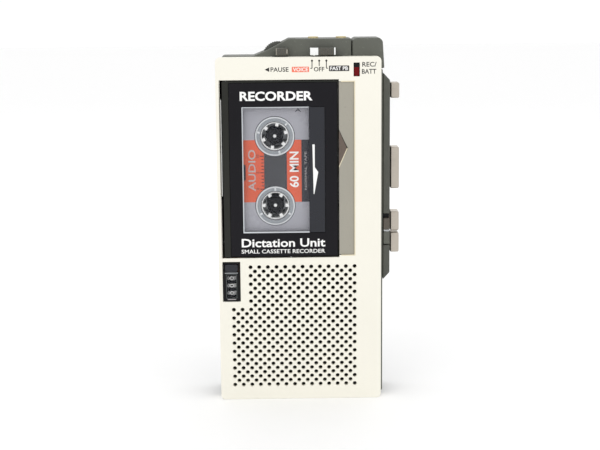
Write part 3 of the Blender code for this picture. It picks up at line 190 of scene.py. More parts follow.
def moulded(name, colour, roughness=0.45, grain=2600.0, relief=0.25, variation=0.05,
            specular=0.5, speckle=None):
    """Moulded plastic: mottled colour, uneven gloss, fine spark-eroded grain, stray specks."""
    colour = tuple(colour)
    material, tree, shader = start_material(name)
    patches = ranged(tree, noise(tree, 55.0, 4.0), 0.0, 1.0)
    base = mixed(tree, patches, shade(colour, 1.0 - variation), shade(colour, 1.0 + variation))
    if speckle:
        specks = ranged(tree, noise(tree, 1500.0, 2.0), 0.0, 1.0, 0.66, 0.74)
        base = mixed(tree, specks, base, shade(colour, speckle))
    tree.links.new(base, shader.inputs["Base Color"])
    gloss = ranged(tree, noise(tree, 180.0, 3.0), roughness - 0.06, roughness + 0.06)
    tree.links.new(gloss, shader.inputs["Roughness"])
    shader.inputs["Specular IOR Level"].default_value = specular
    add_bump(tree, shader, noise(tree, grain, 2.0), relief, 0.00003)
    return material


def metal(name, colour, roughness=0.3, stretch=(1.0, 1.0, 40.0), grain=300.0, relief=0.15):
    """Bare or plated metal with drawn marks along one direction and dull patches."""
    colour = tuple(colour)
    material, tree, shader = start_material(name)
    marks = noise(tree, grain, 4.0, stretch)
    base = mixed(tree, ranged(tree, marks, 0.0, 1.0), shade(colour, 0.88), shade(colour, 1.06))
    tree.links.new(base, shader.inputs["Base Color"])
    shader.inputs["Metallic"].default_value = 1.0
    dull = ranged(tree, noise(tree, 140.0, 3.0), roughness - 0.07, roughness + 0.12)
    tree.links.new(dull, shader.inputs["Roughness"])
    add_bump(tree, shader, marks, relief, 0.00002)
    return material


def clear_plastic(name, tint, alpha):
    """Thin clear moulding: mostly see-through, with a sharp surface gloss and faint haze."""
    roughness = 0.03
    material, tree, shader = start_material(name)
    shader.inputs["Base Color"].default_value = (*tint, 1.0)
    shader.inputs["Alpha"].default_value = alpha
    haze = ranged(tree, noise(tree, 260.0, 5.0), roughness, roughness + 0.08)
    tree.links.new(haze, shader.inputs["Roughness"])
    add_bump(tree, shader, noise(tree, 90.0, 2.0), 0.05, 0.00002)
    return material


def ink(name, colour, roughness=0.5):
    """Screen-printed ink, slightly uneven in cover."""
    return moulded(name, colour, roughness, grain=3200.0, relief=0.12, variation=0.07)


def wound_tape(name, colour):
    """Edge of wound tape: fine rings and a low sheen."""
    material, tree, shader = start_material(name)
    rings = noise(tree, 420.0, 5.0)
    base = mixed(tree, ranged(tree, rings, 0.0, 1.0), shade(colour, 0.75), shade(colour, 1.25))
    tree.links.new(base, shader.inputs["Base Color"])
    shine = ranged(tree, noise(tree, 900.0, 2.0), 0.25, 0.45)
    tree.links.new(shine, shader.inputs["Roughness"])
    add_bump(tree, shader, rings, 0.2, 0.00002)
    return material


def cell_jacket(name):
    """Printed steel jacket of a dry cell: dark body with a coppery band at one end."""
    material, tree, shader = start_material(name)
    coords = tree.nodes.new("ShaderNodeTexCoord")
    axes = tree.nodes.new("ShaderNodeSeparateXYZ")
    tree.links.new(coords.outputs["Object"], axes.inputs["Vector"])
    band = ranged(tree, axes.outputs["Z"], 0.0, 1.0, 0.0338, 0.0341)
    base = mixed(tree, band, linear(38, 40, 46), linear(190, 120, 70))
    tree.links.new(base, shader.inputs["Base Color"])
    shader.inputs["Metallic"].default_value = 0.6
    tree.links.new(ranged(tree, noise(tree, 150.0), 0.25, 0.4), shader.inputs["Roughness"])
    add_bump(tree, shader, noise(tree, 700.0), 0.1, 0.00002)
    return material


MATERIALS = {}


def finish(name):
    return MATERIALS[name]


def make_materials(colours):
    MATERIALS.update({
        "ivory": moulded("ivory_moulding", colours.ivory, 0.42, 2400.0, 0.22, 0.012),
        "ivory_lip": moulded("ivory_lip", linear(226, 216, 188), 0.35, 2400.0, 0.1, 0.03),
        "olive": moulded("olive_moulding", colours.olive, 0.5, 1900.0, 0.5, 0.07, speckle=1.5),
        "olive_dark": moulded("olive_control", shade(colours.olive, 0.72), 0.45, 2200.0, 0.4, 0.08),
        "bezel": moulded("door_bezel", colours.bezel, 0.35, 2500.0, 0.2, 0.08,
                         specular=0.25),
        "gloss": moulded("door_gloss", colours.gloss, 0.12, 300.0, 0.03, 0.12, specular=0.12),
        "window": clear_plastic("window_clear", (0.16, 0.17, 0.2), 0.05),
        # Light grey for painted highlights on bright edges: the window's polished edge, the
        # counter's ledge and the speed switch's rib
        "edge_highlight": moulded("edge_highlight", linear(196, 200, 204), 0.2, 2000.0, 0.1, 0.1),
        "navy": ink("navy_band", colours.navy, 0.3),
        "counter_edge": moulded("counter_edge", linear(92, 98, 98), 0.25, 2000.0, 0.1, 0.1),
        "white_ink": ink("white_ink", linear(246, 246, 244)),
        "dark_ink": ink("dark_ink", linear(38, 36, 34)),
        "salmon_ink": ink("salmon_ink", colours.salmon),
        "strip": moulded("strip_moulding", colours.strip, 0.45, 1800.0, 0.5, 0.04, speckle=0.85),
        "olive_rail": moulded("key_rail_olive", shade(colours.olive, 0.7), 0.5, 2600.0, 0.25, 0.06),
        "switch": moulded("speed_switch", linear(84, 77, 68), 0.35, 2000.0, 0.3, 0.1),
        # Painted shade and dark reflection inside the finger notch: darker and browner than the
        # strip
        "notch": moulded("notch_painted_shade", linear(104, 90, 80), 0.5, 1800.0, 0.3, 0.12),
        "key": metal("key_plating", colours.key, 0.38, (1.0, 1.0, 26.0), 420.0, 0.3),
        "steel": metal("bright_steel", linear(200, 200, 198), 0.25, (1.0, 30.0, 1.0)),
        "stamped": metal("stamped_steel", linear(168, 170, 172), 0.35, (1.0, 1.0, 8.0)),
        "brass": metal("turned_brass", linear(214, 200, 158), 0.28, (1.0, 1.0, 60.0), 500.0),
        "black": moulded("black_moulding", linear(20, 20, 21), 0.4, 2200.0, 0.3, 0.1, specular=0.15),
        "white": moulded("white_moulding", linear(240, 241, 240), 0.35, 2400.0, 0.2, 0.03),
        "shell": moulded("cassette_shell", colours.shell, 0.3, 1300.0, 0.5, 0.03, speckle=1.12),
        "shell_ring": moulded("cassette_ring", linear(150, 155, 160), 0.22, 1500.0, 0.2, 0.06),
        "shell_light": moulded("cassette_rim", linear(214, 217, 220), 0.25, 1500.0, 0.2, 0.05),
        "orange": ink("orange_label", colours.label, 0.45),
        "label_dark": ink("label_dark", linear(42, 43, 52), 0.4),
        "label_grey": ink("label_grey", linear(186, 180, 180), 0.4),
        "tape_window": moulded("tape_window", linear(66, 67, 71), 0.2, 700.0, 0.3, 0.12),
        "tape": wound_tape("wound_tape", linear(58, 42, 36)),
        "lens": moulded("red_lens", colours.lens, 0.15, 500.0, 0.05, 0.15, specular=0.12),
        "rubber": moulded("ground_rubber", linear(30, 30, 31), 0.75, 1500.0, 0.7, 0.1),
        "board": moulded("board_mask", linear(28, 84, 48), 0.4, 700.0, 0.3, 0.1),
        "paper": moulded("cone_paper", linear(44, 42, 40), 0.9, 1500.0, 0.9, 0.15),
        "cloth": moulded("speaker_cloth", linear(14, 14, 14), 0.95, 3000.0, 1.0, 0.2),
        "jacket": cell_jacket("cell_jacket"),
        "floor": moulded("paper_floor", linear(250, 250, 250), 0.8, 400.0, 0.05, 0.004),
    })


# ---------------------------------------------------------------- shapes

def linked(name, data):
    """New object in the scene that holds the given mesh or curve."""
    obj = bpy.data.objects.new(name, data)
    bpy.context.scene.collection.objects.link(obj)
    return obj


def from_bmesh(name, shape, material, sharp=SHARP_ANGLE):
    """Object with one material and soft shading from a bmesh, which is used up."""
    mesh = bpy.data.meshes.new(name)
    bmesh.ops.recalc_face_normals(shape, faces=shape.faces)
    shape.to_mesh(mesh)
    shape.free()
    mesh.materials.append(material)
    soften(mesh, sharp)
    return linked(name, mesh)


def soften(mesh, sharp=SHARP_ANGLE):
    mesh.shade_smooth()
    mesh.set_sharp_from_angle(angle=sharp)


def evaluated_mesh(obj):
    """Mesh of an object as its curve settings or modifiers make it."""
    bpy.context.view_layer.update()
    graph = bpy.context.evaluated_depsgraph_get()
    return bpy.data.meshes.new_from_object(obj.evaluated_get(graph))


def apply_modifiers(obj):
    mesh = evaluated_mesh(obj)
    obj.modifiers.clear()
    obj.data = mesh
    return obj


def welded(mesh, distance):
    """A bmesh of the mesh, which is used up, with points closer than distance made one."""
    shape = bmesh.new()
    shape.from_mesh(mesh)
    bpy.data.meshes.remove(mesh)
    bmesh.ops.remove_doubles(shape, verts=shape.verts, dist=distance)
    return shape


def mesh_of_curve(name, curve):
    """Mesh of a curve or text, which is used up."""
    guide = linked(name, curve)
    mesh = evaluated_mesh(guide)
    bpy.data.objects.remove(guide)
    bpy.data.curves.remove(curve)
    return mesh


def even_shading(obj):
    """Let large flat faces shade flat, so that only the rounded edges turn the light."""
    weighted = obj.modifiers.new("even_shading", "WEIGHTED_NORMAL")
    weighted.keep_sharp = True
    weighted.mode = "FACE_AREA"
    apply_modifiers(obj)


def cut(obj, *cutters):
    """Take other solids out of obj and remove them."""
    for cutter in cutters:
        boolean = obj.modifiers.new("cut", "BOOLEAN")
        boolean.operation = "DIFFERENCE"
        boolean.solver = "EXACT"
        boolean.object = cutter
    soften(apply_modifiers(obj).data)
    for cutter in cutters:
        bpy.data.objects.remove(cutter)
    return obj


def refined(name, node, material, radius, angle=40.0):
    """Copy of a node's solid with its sharp outside edges rounded."""
    shape = bmesh.new()
    shape.from_mesh(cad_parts[node].data)
    bmesh.ops.remove_doubles(shape, verts=shape.verts, dist=WELD)
    bmesh.ops.dissolve_limit(
        shape, angle_limit=FLAT_ANGLE, verts=shape.verts, edges=shape.edges,
    )
    bmesh.ops.triangulate(shape, faces=shape.faces)
    weights = shape.edges.layers.float.new("bevel_weight_edge")
    for edge in shape.edges:
        if len(edge.link_faces) == 2 and edge.is_convex:
            turn = edge.calc_face_angle(0.0)
            if turn > math.radians(angle) and edge.calc_length() > SHORT_EDGE * radius:
                edge[weights] = 1.0
    obj = from_bmesh(name, shape, material)
    bevel = obj.modifiers.new("edges", "BEVEL")
    bevel.width = radius
    bevel.segments = 3
    bevel.limit_method = "WEIGHT"
    bevel.use_clamp_overlap = False
    bevel.loop_slide = False
    soften(apply_modifiers(obj).data)
    return obj


def block(name, low, high, material, radius=0.15 * MM, segments=3):
    """Box with rounded edges between two corners."""
    low, high = Vector(low), Vector(high)
    shape = bmesh.new()
    bmesh.ops.create_cube(shape, size=1.0)
    bmesh.ops.scale(shape, vec=high - low, verts=shape.verts)
    bmesh.ops.translate(shape, vec=(low + high) / 2, verts=shape.verts)
    if radius:
        radius = min(radius, THIN_SHARE * min(high - low))
        bmesh.ops.bevel(
            shape, geom=shape.edges[:], offset=radius, segments=segments, profile=0.5,
            affect="EDGES",
        )
    return from_bmesh(name, shape, material)


def flat_piece(name, outlines, front, back, material, rounding=0.0):
    """Outlines (the first is outside, the rest are holes) made into a plate from front to back."""
    curve = bpy.data.curves.new(name, "CURVE")
    curve.dimensions = "2D"
    curve.fill_mode = "BOTH"
    curve.extrude = (back - front) / 2 - rounding
    curve.bevel_depth = rounding
    curve.bevel_resolution = 1
    curve.offset = -rounding
    for outline in outlines:
        spline = curve.splines.new("POLY")
        spline.points.add(len(outline) - 1)
        for point, (across, up) in zip(spline.points, outline):
            point.co = (across, up, 0.0, 1.0)
        spline.use_cyclic_u = True
    mesh = mesh_of_curve(name, curve)
    upright = Matrix.Rotation(QUARTER_TURN, 4, "X")
    mesh.transform(Matrix.Translation((0.0, (front + back) / 2, 0.0)) @ upright)
    return from_bmesh(name, welded(mesh, FINE_WELD), material)


def lathe(name, profile, centre, material, along="Y", steps=48):
    """Turn (radius, height) points about an axis through centre, along Y or Z."""
    shape = bmesh.new()
    verts = [shape.verts.new((radius, 0.0, height)) for radius, height in profile]
    edges = [shape.edges.new(pair) for pair in zip(verts, verts[1:])]
    bmesh.ops.spin(
        shape, geom=verts + edges, cent=(0, 0, 0), axis=(0, 0, 1), dvec=(0, 0, 0),
        angle=2 * math.pi, steps=steps, use_merge=False, use_duplicate=False,
    )
    bmesh.ops.remove_doubles(shape, verts=shape.verts, dist=2 * WELD)
    turn = Matrix.Rotation(-QUARTER_TURN, 4, "X") if along == "Y" else Matrix.Identity(4)
    bmesh.ops.transform(shape, matrix=Matrix.Translation(centre) @ turn, verts=shape.verts)
    return from_bmesh(name, shape, material)


def ring_profile(outer, inner, low, high, rounding):
    """Closed ring section with small rounded outside corners."""
    return [
        (inner, low), (outer - rounding, low), (outer, low + rounding), (outer, high - rounding),
        (outer - rounding, high), (inner, high), (inner, low),
    ]


def circle(radius, steps, centre):
    return [
        (centre[0] + radius * math.cos(2 * math.pi * index / steps),
         centre[1] + radius * math.sin(2 * math.pi * index / steps))
        for index in range(steps)
    ]


def rounded_outline(left, low, right, high, radius, steps=6):
    points = []
    for x, z, start in (
        (right - radius, low + radius, -90), (right - radius, high - radius, 0),
        (left + radius, high - radius, 90), (left + radius, low + radius, 180),
    ):
        for index in range(steps + 1):
            angle = math.radians(start + 90 * index / steps)
            points.append((x + radius * math.cos(angle), z + radius * math.sin(angle)))
    return points


def box_outline(low, high, margin, radius):
    """Rounded outline round a box: larger by the margin, or smaller where it is negative."""
    return rounded_outline(
        low.x - margin, low.z - margin, high.x + margin, high.z + margin, radius,
    )


def rectangle(left, low, right, high):
    return [(left, low), (right, low), (right, high), (left, high)]


def joined(name, pieces):
    """Join mesh objects into one piece that keeps each one's material."""
    shape = bmesh.new()
    materials = []
    for piece in pieces:
        start = len(shape.faces)
        shape.from_mesh(piece.data)
        own = piece.data.materials[0]
        if own not in materials:
            materials.append(own)
        shape.faces.ensure_lookup_table()
        for face in shape.faces[start:]:
            face.material_index = materials.index(own)
    mesh = bpy.data.meshes.new(name)
    shape.to_mesh(mesh)
    shape.free()
    for piece in pieces:
        bpy.data.objects.remove(piece)
    for own in materials:
        mesh.materials.append(own)
    return linked(name, mesh)


def lettering(name, words, centre, height, material, width=None, turn=0.0, thick=None, weight=0.0,
              rear=False):
    """Printed word on the front or rear: cap height and, if given, width are exact."""
    curve = bpy.data.curves.new(name, "FONT")
    curve.body = words
    curve.align_x = "CENTER"
    curve.offset = weight
    curve.resolution_u = 3
    mesh = mesh_of_curve(name, curve)
    xs = [vert.co.x for vert in mesh.vertices]
    ys = [vert.co.y for vert in mesh.vertices]
    tall = height / (max(ys) - min(ys))
    wide = width / (max(xs) - min(xs)) if width else tall
    mesh.transform(Matrix.Translation((-(max(xs) + min(xs)) / 2, -(max(ys) + min(ys)) / 2, 0.0)))
    mesh.transform(Matrix.Diagonal((wide, tall, 1.0, 1.0)))
    mesh.transform(Matrix.Rotation(math.radians(turn), 4, "Z"))
    upright = Matrix.Rotation(QUARTER_TURN, 4, "X")
    if rear:
        upright = Matrix.Rotation(math.pi, 4, "Z") @ upright
    mesh.transform(Matrix.Translation(centre) @ upright)
    shape = welded(mesh, FINE_WELD)
    top = bmesh.ops.extrude_face_region(shape, geom=shape.faces[:])["geom"]
    lift = [item for item in top if isinstance(item, bmesh.types.BMVert)]
    depth = thick or sizes().ink_thickness
    outward = Vector((0.0, depth if rear else -depth, 0.0))
    bmesh.ops.translate(shape, vec=outward, verts=lift)
    return from_bmesh(name, shape, material)


def set_piece(obj, body, slot, *nodes):
    """Let a piece ride on its body and hide the nodes it stands for; the finish slot is not used."""
    even_shading(obj)
    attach(obj, body)
    if nodes:
        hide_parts(*nodes)
    return obj


def carry(node, material):
    """Give a node that keeps its own shape its finished material."""
    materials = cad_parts[node].data.materials
    materials.clear()
    materials.append(material)


def turned_in_place(piece, centre, degrees):
    """Turn a piece made at the origin about Y and bring it to a hub's centre."""
    turn = Matrix.Rotation(math.radians(-degrees), 4, "Y")
    piece.data.transform(Matrix.Translation((centre.x, 0.0, centre.z)) @ turn)
    return piece


def centre_of(node):
    low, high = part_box(node)
    return (low + high) / 2


def sizes():
    return bpy.context.scene.recorder_sizes


# ---------------------------------------------------------------- front cover

HOLE_ROWS = 15                # full rows of sound holes, bottom to top
NARROW_ROWS = 5               # upper rows stop short of the counter
WIDE_COLUMNS = 15
NARROW_COLUMNS = 13
LAST_COLUMN_X = 17.16 * MM
FIRST_ROW_Z = 4.82 * MM
SLOT_DEPTH = 2.2 * MM         # of the sliders' slots in the cover's top
MARK_CORNER = 0.15 * MM       # of the boxes printed behind words
LIP_WIDTH = 0.32 * MM
LIP_GAP = 0.01 * MM


def hole_places(pitch):
    """Centres of the staggered sound holes."""
    places = []
    for row in range(2 * HOLE_ROWS - 1):
        full = row % 2 == 0
        index = row // 2
        upper = index >= HOLE_ROWS - NARROW_ROWS if full else index >= HOLE_ROWS - NARROW_ROWS - 1
        columns = (NARROW_COLUMNS if upper else WIDE_COLUMNS) - (0 if full else 1)
        shift = 0.0 if full else pitch / 2
        for column in range(columns):
            places.append((LAST_COLUMN_X - shift - column * pitch, FIRST_ROW_Z + row * pitch / 2))
    return places


def cover_openings():
    """Outlines cut through the cover's face: door with its strip, counter and indicator."""
    door_low, door_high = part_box("door_frame")
    strip_low, strip_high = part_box("latch_strip")
    hinge_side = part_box("door_hinge_pin")[0].x - GAP
    bottom, top = door_low.z - GAP, door_high.z + GAP
    openings = [[
        (hinge_side, bottom), (strip_low.x, bottom), (strip_low.x, strip_low.z - FIT),
        (strip_high.x + FIT, strip_low.z - FIT), (strip_high.x + FIT, strip_high.z + FIT),
        (strip_low.x, strip_high.z + FIT), (strip_low.x, top), (hinge_side, top),
    ]]
    for node in ("counter_bezel", "led_lens"):
        openings.append(box_outline(*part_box(node), FIT, FIT))
    return openings


def build_cover():
    setting = sizes()
    low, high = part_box("front_cover")
    rounding = setting.edge_radius
    outline = box_outline(low, high, 0.0, COVER_CORNER)
    holes = [
        circle(setting.hole_radius, setting.hole_sides, place)
        for place in hole_places(setting.hole_pitch)
    ]
    face = flat_piece(
        "cover_face", [outline, *cover_openings(), *holes], low.y, low.y + WALL, finish("ivory"),
        rounding,
    )
    inside = box_outline(low, high, -WALL, COVER_CORNER - WALL)
    sides = flat_piece(
        "cover_sides", [outline, inside], low.y + WALL - 2 * rounding, high.y, finish("ivory"),
        THIN_EDGE,
    )
    slots = []
    for node, before, after in (("pause_slider", 2.2 * MM, 0.0), ("mode_slider", 0.0, 4.4 * MM)):
        knob_low, knob_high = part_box(node)
        middle = (knob_low.x + knob_high.x) / 2
        half = (knob_high.x - knob_low.x) / 6 + GAP
        slots.append(block(
            node + "_slot", (middle - half - before, high.y - SLOT_DEPTH, high.z - 2 * WALL),
            (middle + half + after, high.y + MM, high.z + MM), finish("ivory"), 0.0,
        ))
    cut(sides, *slots)
    set_piece(joined("cover_shell", [face, sides]), "case", "ivory_plastic", "front_cover")
    build_strip_lip(low.y)
    build_speaker_cloth()


def build_strip_lip(face):
    """Fine raised edge along the right and top of the strip beside the door."""
    low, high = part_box("latch_strip")
    left, right = low.x + 0.6 * MM, high.x + LIP_GAP
    bottom, top = low.z - LIP_GAP, high.z + LIP_GAP
    lip = flat_piece(
        "strip_lip",
        [[
            (left, bottom - LIP_WIDTH), (right + LIP_WIDTH, bottom - LIP_WIDTH),
            (right + LIP_WIDTH, top + LIP_WIDTH), (left, top + LIP_WIDTH), (left, top),
            (right, top), (right, bottom), (left, bottom),
        ]],
        face - 0.06 * MM, face + 0.3 * MM, finish("ivory_lip"), THIN_EDGE,
    )
    set_piece(lip, "case", "ivory_plastic")


def build_speaker_cloth():
    """Dark cloth behind the sound holes, in front of the loudspeaker."""
    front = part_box("speaker_frame")[0].y
    panels = [
        flat_piece(name, [rounded_outline(*box, 0.5 * MM)], front - 0.24 * MM, front - 0.08 * MM,
                   finish("cloth"))
        for name, box in (
            ("cloth_lower", (-22.6 * MM, 2.0 * MM, 20.0 * MM, 31.6 * MM)),
            ("cloth_upper", (-18.4 * MM, 31.6 * MM, 20.0 * MM, 44.6 * MM)),
        )
    ]
    set_piece(joined("speaker_cloth", panels), "case", "cone_paper")


def build_cover_marks():
    """Printed words and marks above the door."""
    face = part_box("front_cover")[0].y
    dark, white, salmon = finish("dark_ink"), finish("white_ink"), finish("salmon_ink")
    thin = sizes().ink_thickness
    marks = []

    def word(name, words, x, z, height, width, material=dark, lift=0.0):
        marks.append(lettering(
            name, words, (x * MM, face - lift, z * MM), height * MM, material, width * MM,
            weight=0.015,
        ))

    def mark(name, outline, material=dark):
        marks.append(flat_piece(name, [outline], face - thin, face, material))

    mark("pause_arrow",
         [(-10.3 * MM, 104.75 * MM), (-8.9 * MM, 104.05 * MM), (-8.9 * MM, 105.45 * MM)])
    word("pause_word", "PAUSE", -5.75, 104.75, 1.4, 5.5)
    mark("voice_box", rounded_outline(-2.0 * MM, 103.9 * MM, 3.3 * MM, 105.55 * MM, MARK_CORNER),
         salmon)
    word("voice_word", "VOICE", 0.65, 104.72, 1.15, 4.6, white, thin)
    word("off_word", "OFF", 6.35, 104.75, 1.35, 3.2)
    mark("fast_box", rounded_outline(9.4 * MM, 104.1 * MM, 15.6 * MM, 105.8 * MM, MARK_CORNER))
    word("fast_word", "FAST PB", 12.5, 104.95, 1.15, 5.4, white, thin)
    word("record_word", "REC/", 21.8, 106.1, 1.45, 4.4)
    word("battery_word", "BATT", 21.7, 103.95, 1.45, 4.4)
    half_line = 0.13
    for index, (x, foot) in enumerate(((4.2, 105.0), (6.4, 105.7), (8.6, 105.0))):
        mark(f"position_dot_{index}", circle(0.32 * MM, 16, (x * MM, 107.35 * MM)))
        mark(f"position_line_{index}",
             rectangle((x - half_line) * MM, foot * MM, (x + half_line) * MM, 107.3 * MM))
    for name, x_from, x_to in (("voice_lead", 3.7, 4.2), ("fast_lead", 8.6, 9.1)):
        mark(name, rectangle(x_from * MM, 104.9 * MM, x_to * MM, 105.15 * MM))
    set_piece(joined("cover_marks", marks), "case", "black_plastic")


# ---------------------------------------------------------------- cassette door

DOOR_CORNER = 0.35 * MM
PANE_EDGE = 0.42 * MM         # painted highlight along the window's polished edge
BAND_LEFT = 3.1 * MM          # where the printed band starts
BAND_BACK = 0.11 * MM         # depth of the printed band behind the door's face

def build_door_frame(panel_low, panel_high):
    """Frame round the glossy panel: a rebated border in front and a ledge behind."""
    low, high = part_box("door_frame")
    pane_low, pane_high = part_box("door_window")
    outline = box_outline(low, high, 0.0, 0.3 * MM)
    rebate = box_outline(panel_low, panel_high, FIT, FIT)
    opening = box_outline(pane_low, pane_high, -FIT, FIT)
    step = panel_high.y + FIT
    pieces = [
        flat_piece("door_border", [outline, rebate], low.y, high.y, finish("bezel"), 0.06 * MM),
        flat_piece("door_ledge", [rebate, opening], step, high.y, finish("bezel"), 0.04 * MM),
    ]
    set_piece(joined("door_bezel", pieces), "door", "olive_plastic", "door_frame")


def build_door():
    low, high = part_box("door_panel")
    build_door_frame(low, high)
    pane_low, pane_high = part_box("door_window")
    left, bottom, right, top = (
        pane_low.x - FIT, pane_low.z - FIT, pane_high.x + FIT, pane_high.z + FIT,
    )
    panel = flat_piece(
        "door_face",
        [box_outline(low, high, 0.0, DOOR_CORNER),
         rounded_outline(left, bottom, right, top, DOOR_CORNER)],
        low.y, high.y, finish("gloss"), SMALL_EDGE,
    )
    set_piece(panel, "door", "gloss_black", "door_panel")
    inner, upper = PANE_EDGE, 0.6 * PANE_EDGE
    pane = block(
        "door_pane",
        (pane_low.x, pane_low.y + 0.12 * MM, pane_low.z),
        (pane_high.x, pane_high.y, pane_high.z), finish("window"), 0.06 * MM,
    )
    set_piece(pane, "door", "clear_window", "door_window")
    # Painted highlight: a light band where the window's polished edge catches the light, on its
    # left, bottom and top
    edge = flat_piece(
        "edge_highlight",
        [[
            (BAND_LEFT, bottom), (BAND_LEFT, bottom + inner), (left + inner, bottom + inner),
            (left + inner, top - upper), (BAND_LEFT, top - upper), (BAND_LEFT, top),
            (left + 0.1 * MM, top), (left + 0.1 * MM, bottom),
        ]],
        low.y + 0.02 * MM, low.y + BAND_BACK, finish("edge_highlight"), LINE_EDGE,
    )
    set_piece(edge, "door", "clear_window")
    stripe = flat_piece(
        "window_band",
        [rounded_outline(BAND_LEFT, pane_low.z, pane_high.x, pane_high.z, 0.1 * MM)],
        low.y + 0.03 * MM, low.y + BAND_BACK, finish("navy"),
    )
    set_piece(stripe, "door", "gloss_black")
    shaft_left, shaft_right, top, tip, barb, barb_z = 4.15, 4.85, 81.6, 66.1, 5.9, 73.3
    arrow = flat_piece(
        "tape_arrow",
        [[
            (shaft_left * MM, top * MM), (4.45 * MM, tip * MM), (4.65 * MM, tip * MM),
            (barb * MM, (barb_z - 0.3) * MM), (shaft_right * MM, (barb_z + 1.2) * MM),
            (shaft_right * MM, top * MM),
        ]],
        low.y, low.y + 0.03 * MM, finish("white_ink"),
    )
    set_piece(arrow, "door", "white_plastic")
    face = low.y
    white = finish("white_ink")
    words = [
        lettering("door_title", "RECORDER", (-6.9 * MM, face, 96.65 * MM), 2.9 * MM, white,
                  22.4 * MM, weight=0.03),
        lettering("door_subtitle", "Dictation Unit", (-5.1 * MM, face, 50.75 * MM), 2.7 * MM, white,
                  26.2 * MM, weight=0.02),
        lettering("door_line", "SMALL CASSETTE RECORDER", (-5.2 * MM, face, 48.05 * MM), 1.25 * MM,
                  white, 26.2 * MM, weight=0.01),
    ]
    set_piece(joined("door_words", words), "door", "white_plastic")
    carry("door_hinge_pin", finish("steel"))


def build_strip():
    strip = refined("strip_plate", "latch_strip", finish("strip"), MOULD_EDGE)
    set_piece(strip, "case", "strip_grey", "latch_strip")
    build_finger_notch(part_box("latch_strip")[0])


def build_finger_notch(low):
    """Pocket for a fingernail: two sloping faces that meet at a deep corner beside the door."""
    reach, middle, half = 2.7 * MM, 80.2 * MM, 6.0 * MM
    rim, deep = low.y + 0.03 * MM, low.y + 0.56 * MM
    points = {
        "foot": (low.x, rim, middle - half), "tip": (low.x + reach, rim, middle),
        "head": (low.x, rim, middle + half), "corner": (low.x + 0.3 * reach, deep, middle),
        "side": (low.x, deep, middle),
    }
    shape = bmesh.new()
    verts = {name: shape.verts.new(place) for name, place in points.items()}
    for face in (
        ("foot", "tip", "corner"), ("tip", "head", "corner"), ("foot", "corner", "side"),
        ("corner", "head", "side"),
    ):
        shape.faces.new([verts[name] for name in face])
    # The pocket's faces carry the notch's painted shade
    pocket = from_bmesh("finger_notch", shape, finish("notch"), FOLD_ANGLE)
    edge = 0.2 * MM
    # Painted highlight: a light line along the notch's lower edge
    lower = flat_piece(
        "notch_lower_highlight",
        [[(low.x, middle - half), (low.x + reach, middle), (low.x + reach - edge, middle + edge),
          (low.x, middle - half + 3 * edge)]],
        low.y - 0.03 * MM, rim + 0.1 * MM, finish("ivory_lip"), LINE_EDGE,
    )
    # Painted shade: a dark line along the notch's upper edge
    upper = flat_piece(
        "notch_upper_shade",
        [[(low.x, middle + half - 2 * edge), (low.x + reach - edge, middle), (low.x + reach, middle),
          (low.x, middle + half)]],
        low.y - 0.02 * MM, rim + 0.1 * MM, finish("bezel"), LINE_EDGE,
    )
    set_piece(joined("finger_notch_pocket", [pocket, lower, upper]), "case", "strip_grey")


# ---------------------------------------------------------------- cassette

SHELL_CORNER = 1.4 * MM
SHELL_WALL = MM
HUB_OPENING_RADIUS = 4.6 * MM
HUB_TEETH = 6
HUB_RING_RADIUS = 6.15 * MM   # raised ring round each hub
LABEL_LOW = 63.4 * MM
LABEL_HIGH = 82.9 * MM
WINDOW_LEFT = -10.9 * MM
WINDOW_RIGHT = -3.8 * MM
BAND_START = 0.76 * MM        # dark band down the label


def toothed_bore(centre, phase, bore, reach, width):
    """Outline of the hub's bore: an arc between each pair of inward teeth."""
    points = []
    pitch = 2 * math.pi / HUB_TEETH
    tip = math.asin(width / 2 / reach)
    foot = math.asin(width / 2 / bore)
    for index in range(HUB_TEETH):
        middle = phase + index * pitch
        polar = [(reach, middle - tip), (reach, middle + tip)]
        arc = pitch - 2 * foot
        polar += [(bore, middle + foot + arc * step / 8) for step in range(9)]
        points += [(centre[0] + r * math.cos(a), centre[1] + r * math.sin(a)) for r, a in polar]
    return points


def label_piece(name, left, low, right, high, front, back, material, hubs, clearance):
    """Rectangle of the printed label with the round hub windows taken out."""
    piece = flat_piece(name, [rectangle(left, low, right, high)], front, back, material)
    cutters = [
        lathe(name + "_cut", [(0.0, front - MM), (clearance, front - MM), (clearance, back + MM),
                              (0.0, back + MM)], (hub.x, 0.0, hub.z), material, steps=64)
        for hub in hubs
    ]
    return cut(piece, *cutters)


def build_cassette():
    low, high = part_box("cassette_shell_front")
    back_low, back_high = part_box("cassette_shell_back")
    build_shell_half("shell_face", "cassette_shell_front", low.y, low.y + MM, high.y)
    build_shell_half("shell_back", "cassette_shell_back", back_high.y - MM, back_high.y, back_low.y)
    hubs = [centre_of("takeup_hub"), centre_of("supply_hub")]
    face = low.y
    label_front = face - 0.05 * MM
    pieces = []
    for name, left, right, material in (
        ("label_left", low.x + 0.4 * MM, WINDOW_LEFT, "orange"),
        ("label_right", WINDOW_RIGHT, BAND_START, "orange"),
        ("label_band", BAND_START, 3.6 * MM, "label_dark"),
        ("label_window", WINDOW_LEFT, WINDOW_RIGHT, "tape_window"),
    ):
        pieces.append(label_piece(name, left, LABEL_LOW, right, LABEL_HIGH, label_front, face,
                                  finish(material), hubs, HUB_RING_RADIUS + FIT))
    for index, (hub, first) in enumerate(zip(hubs, (46.0, 90.0))):
        pieces += hub_surround(index, hub, first, face, HUB_RING_RADIUS)
    pieces += label_print(label_front)
    set_piece(joined("cassette_label", pieces), "case", "shell_grey")


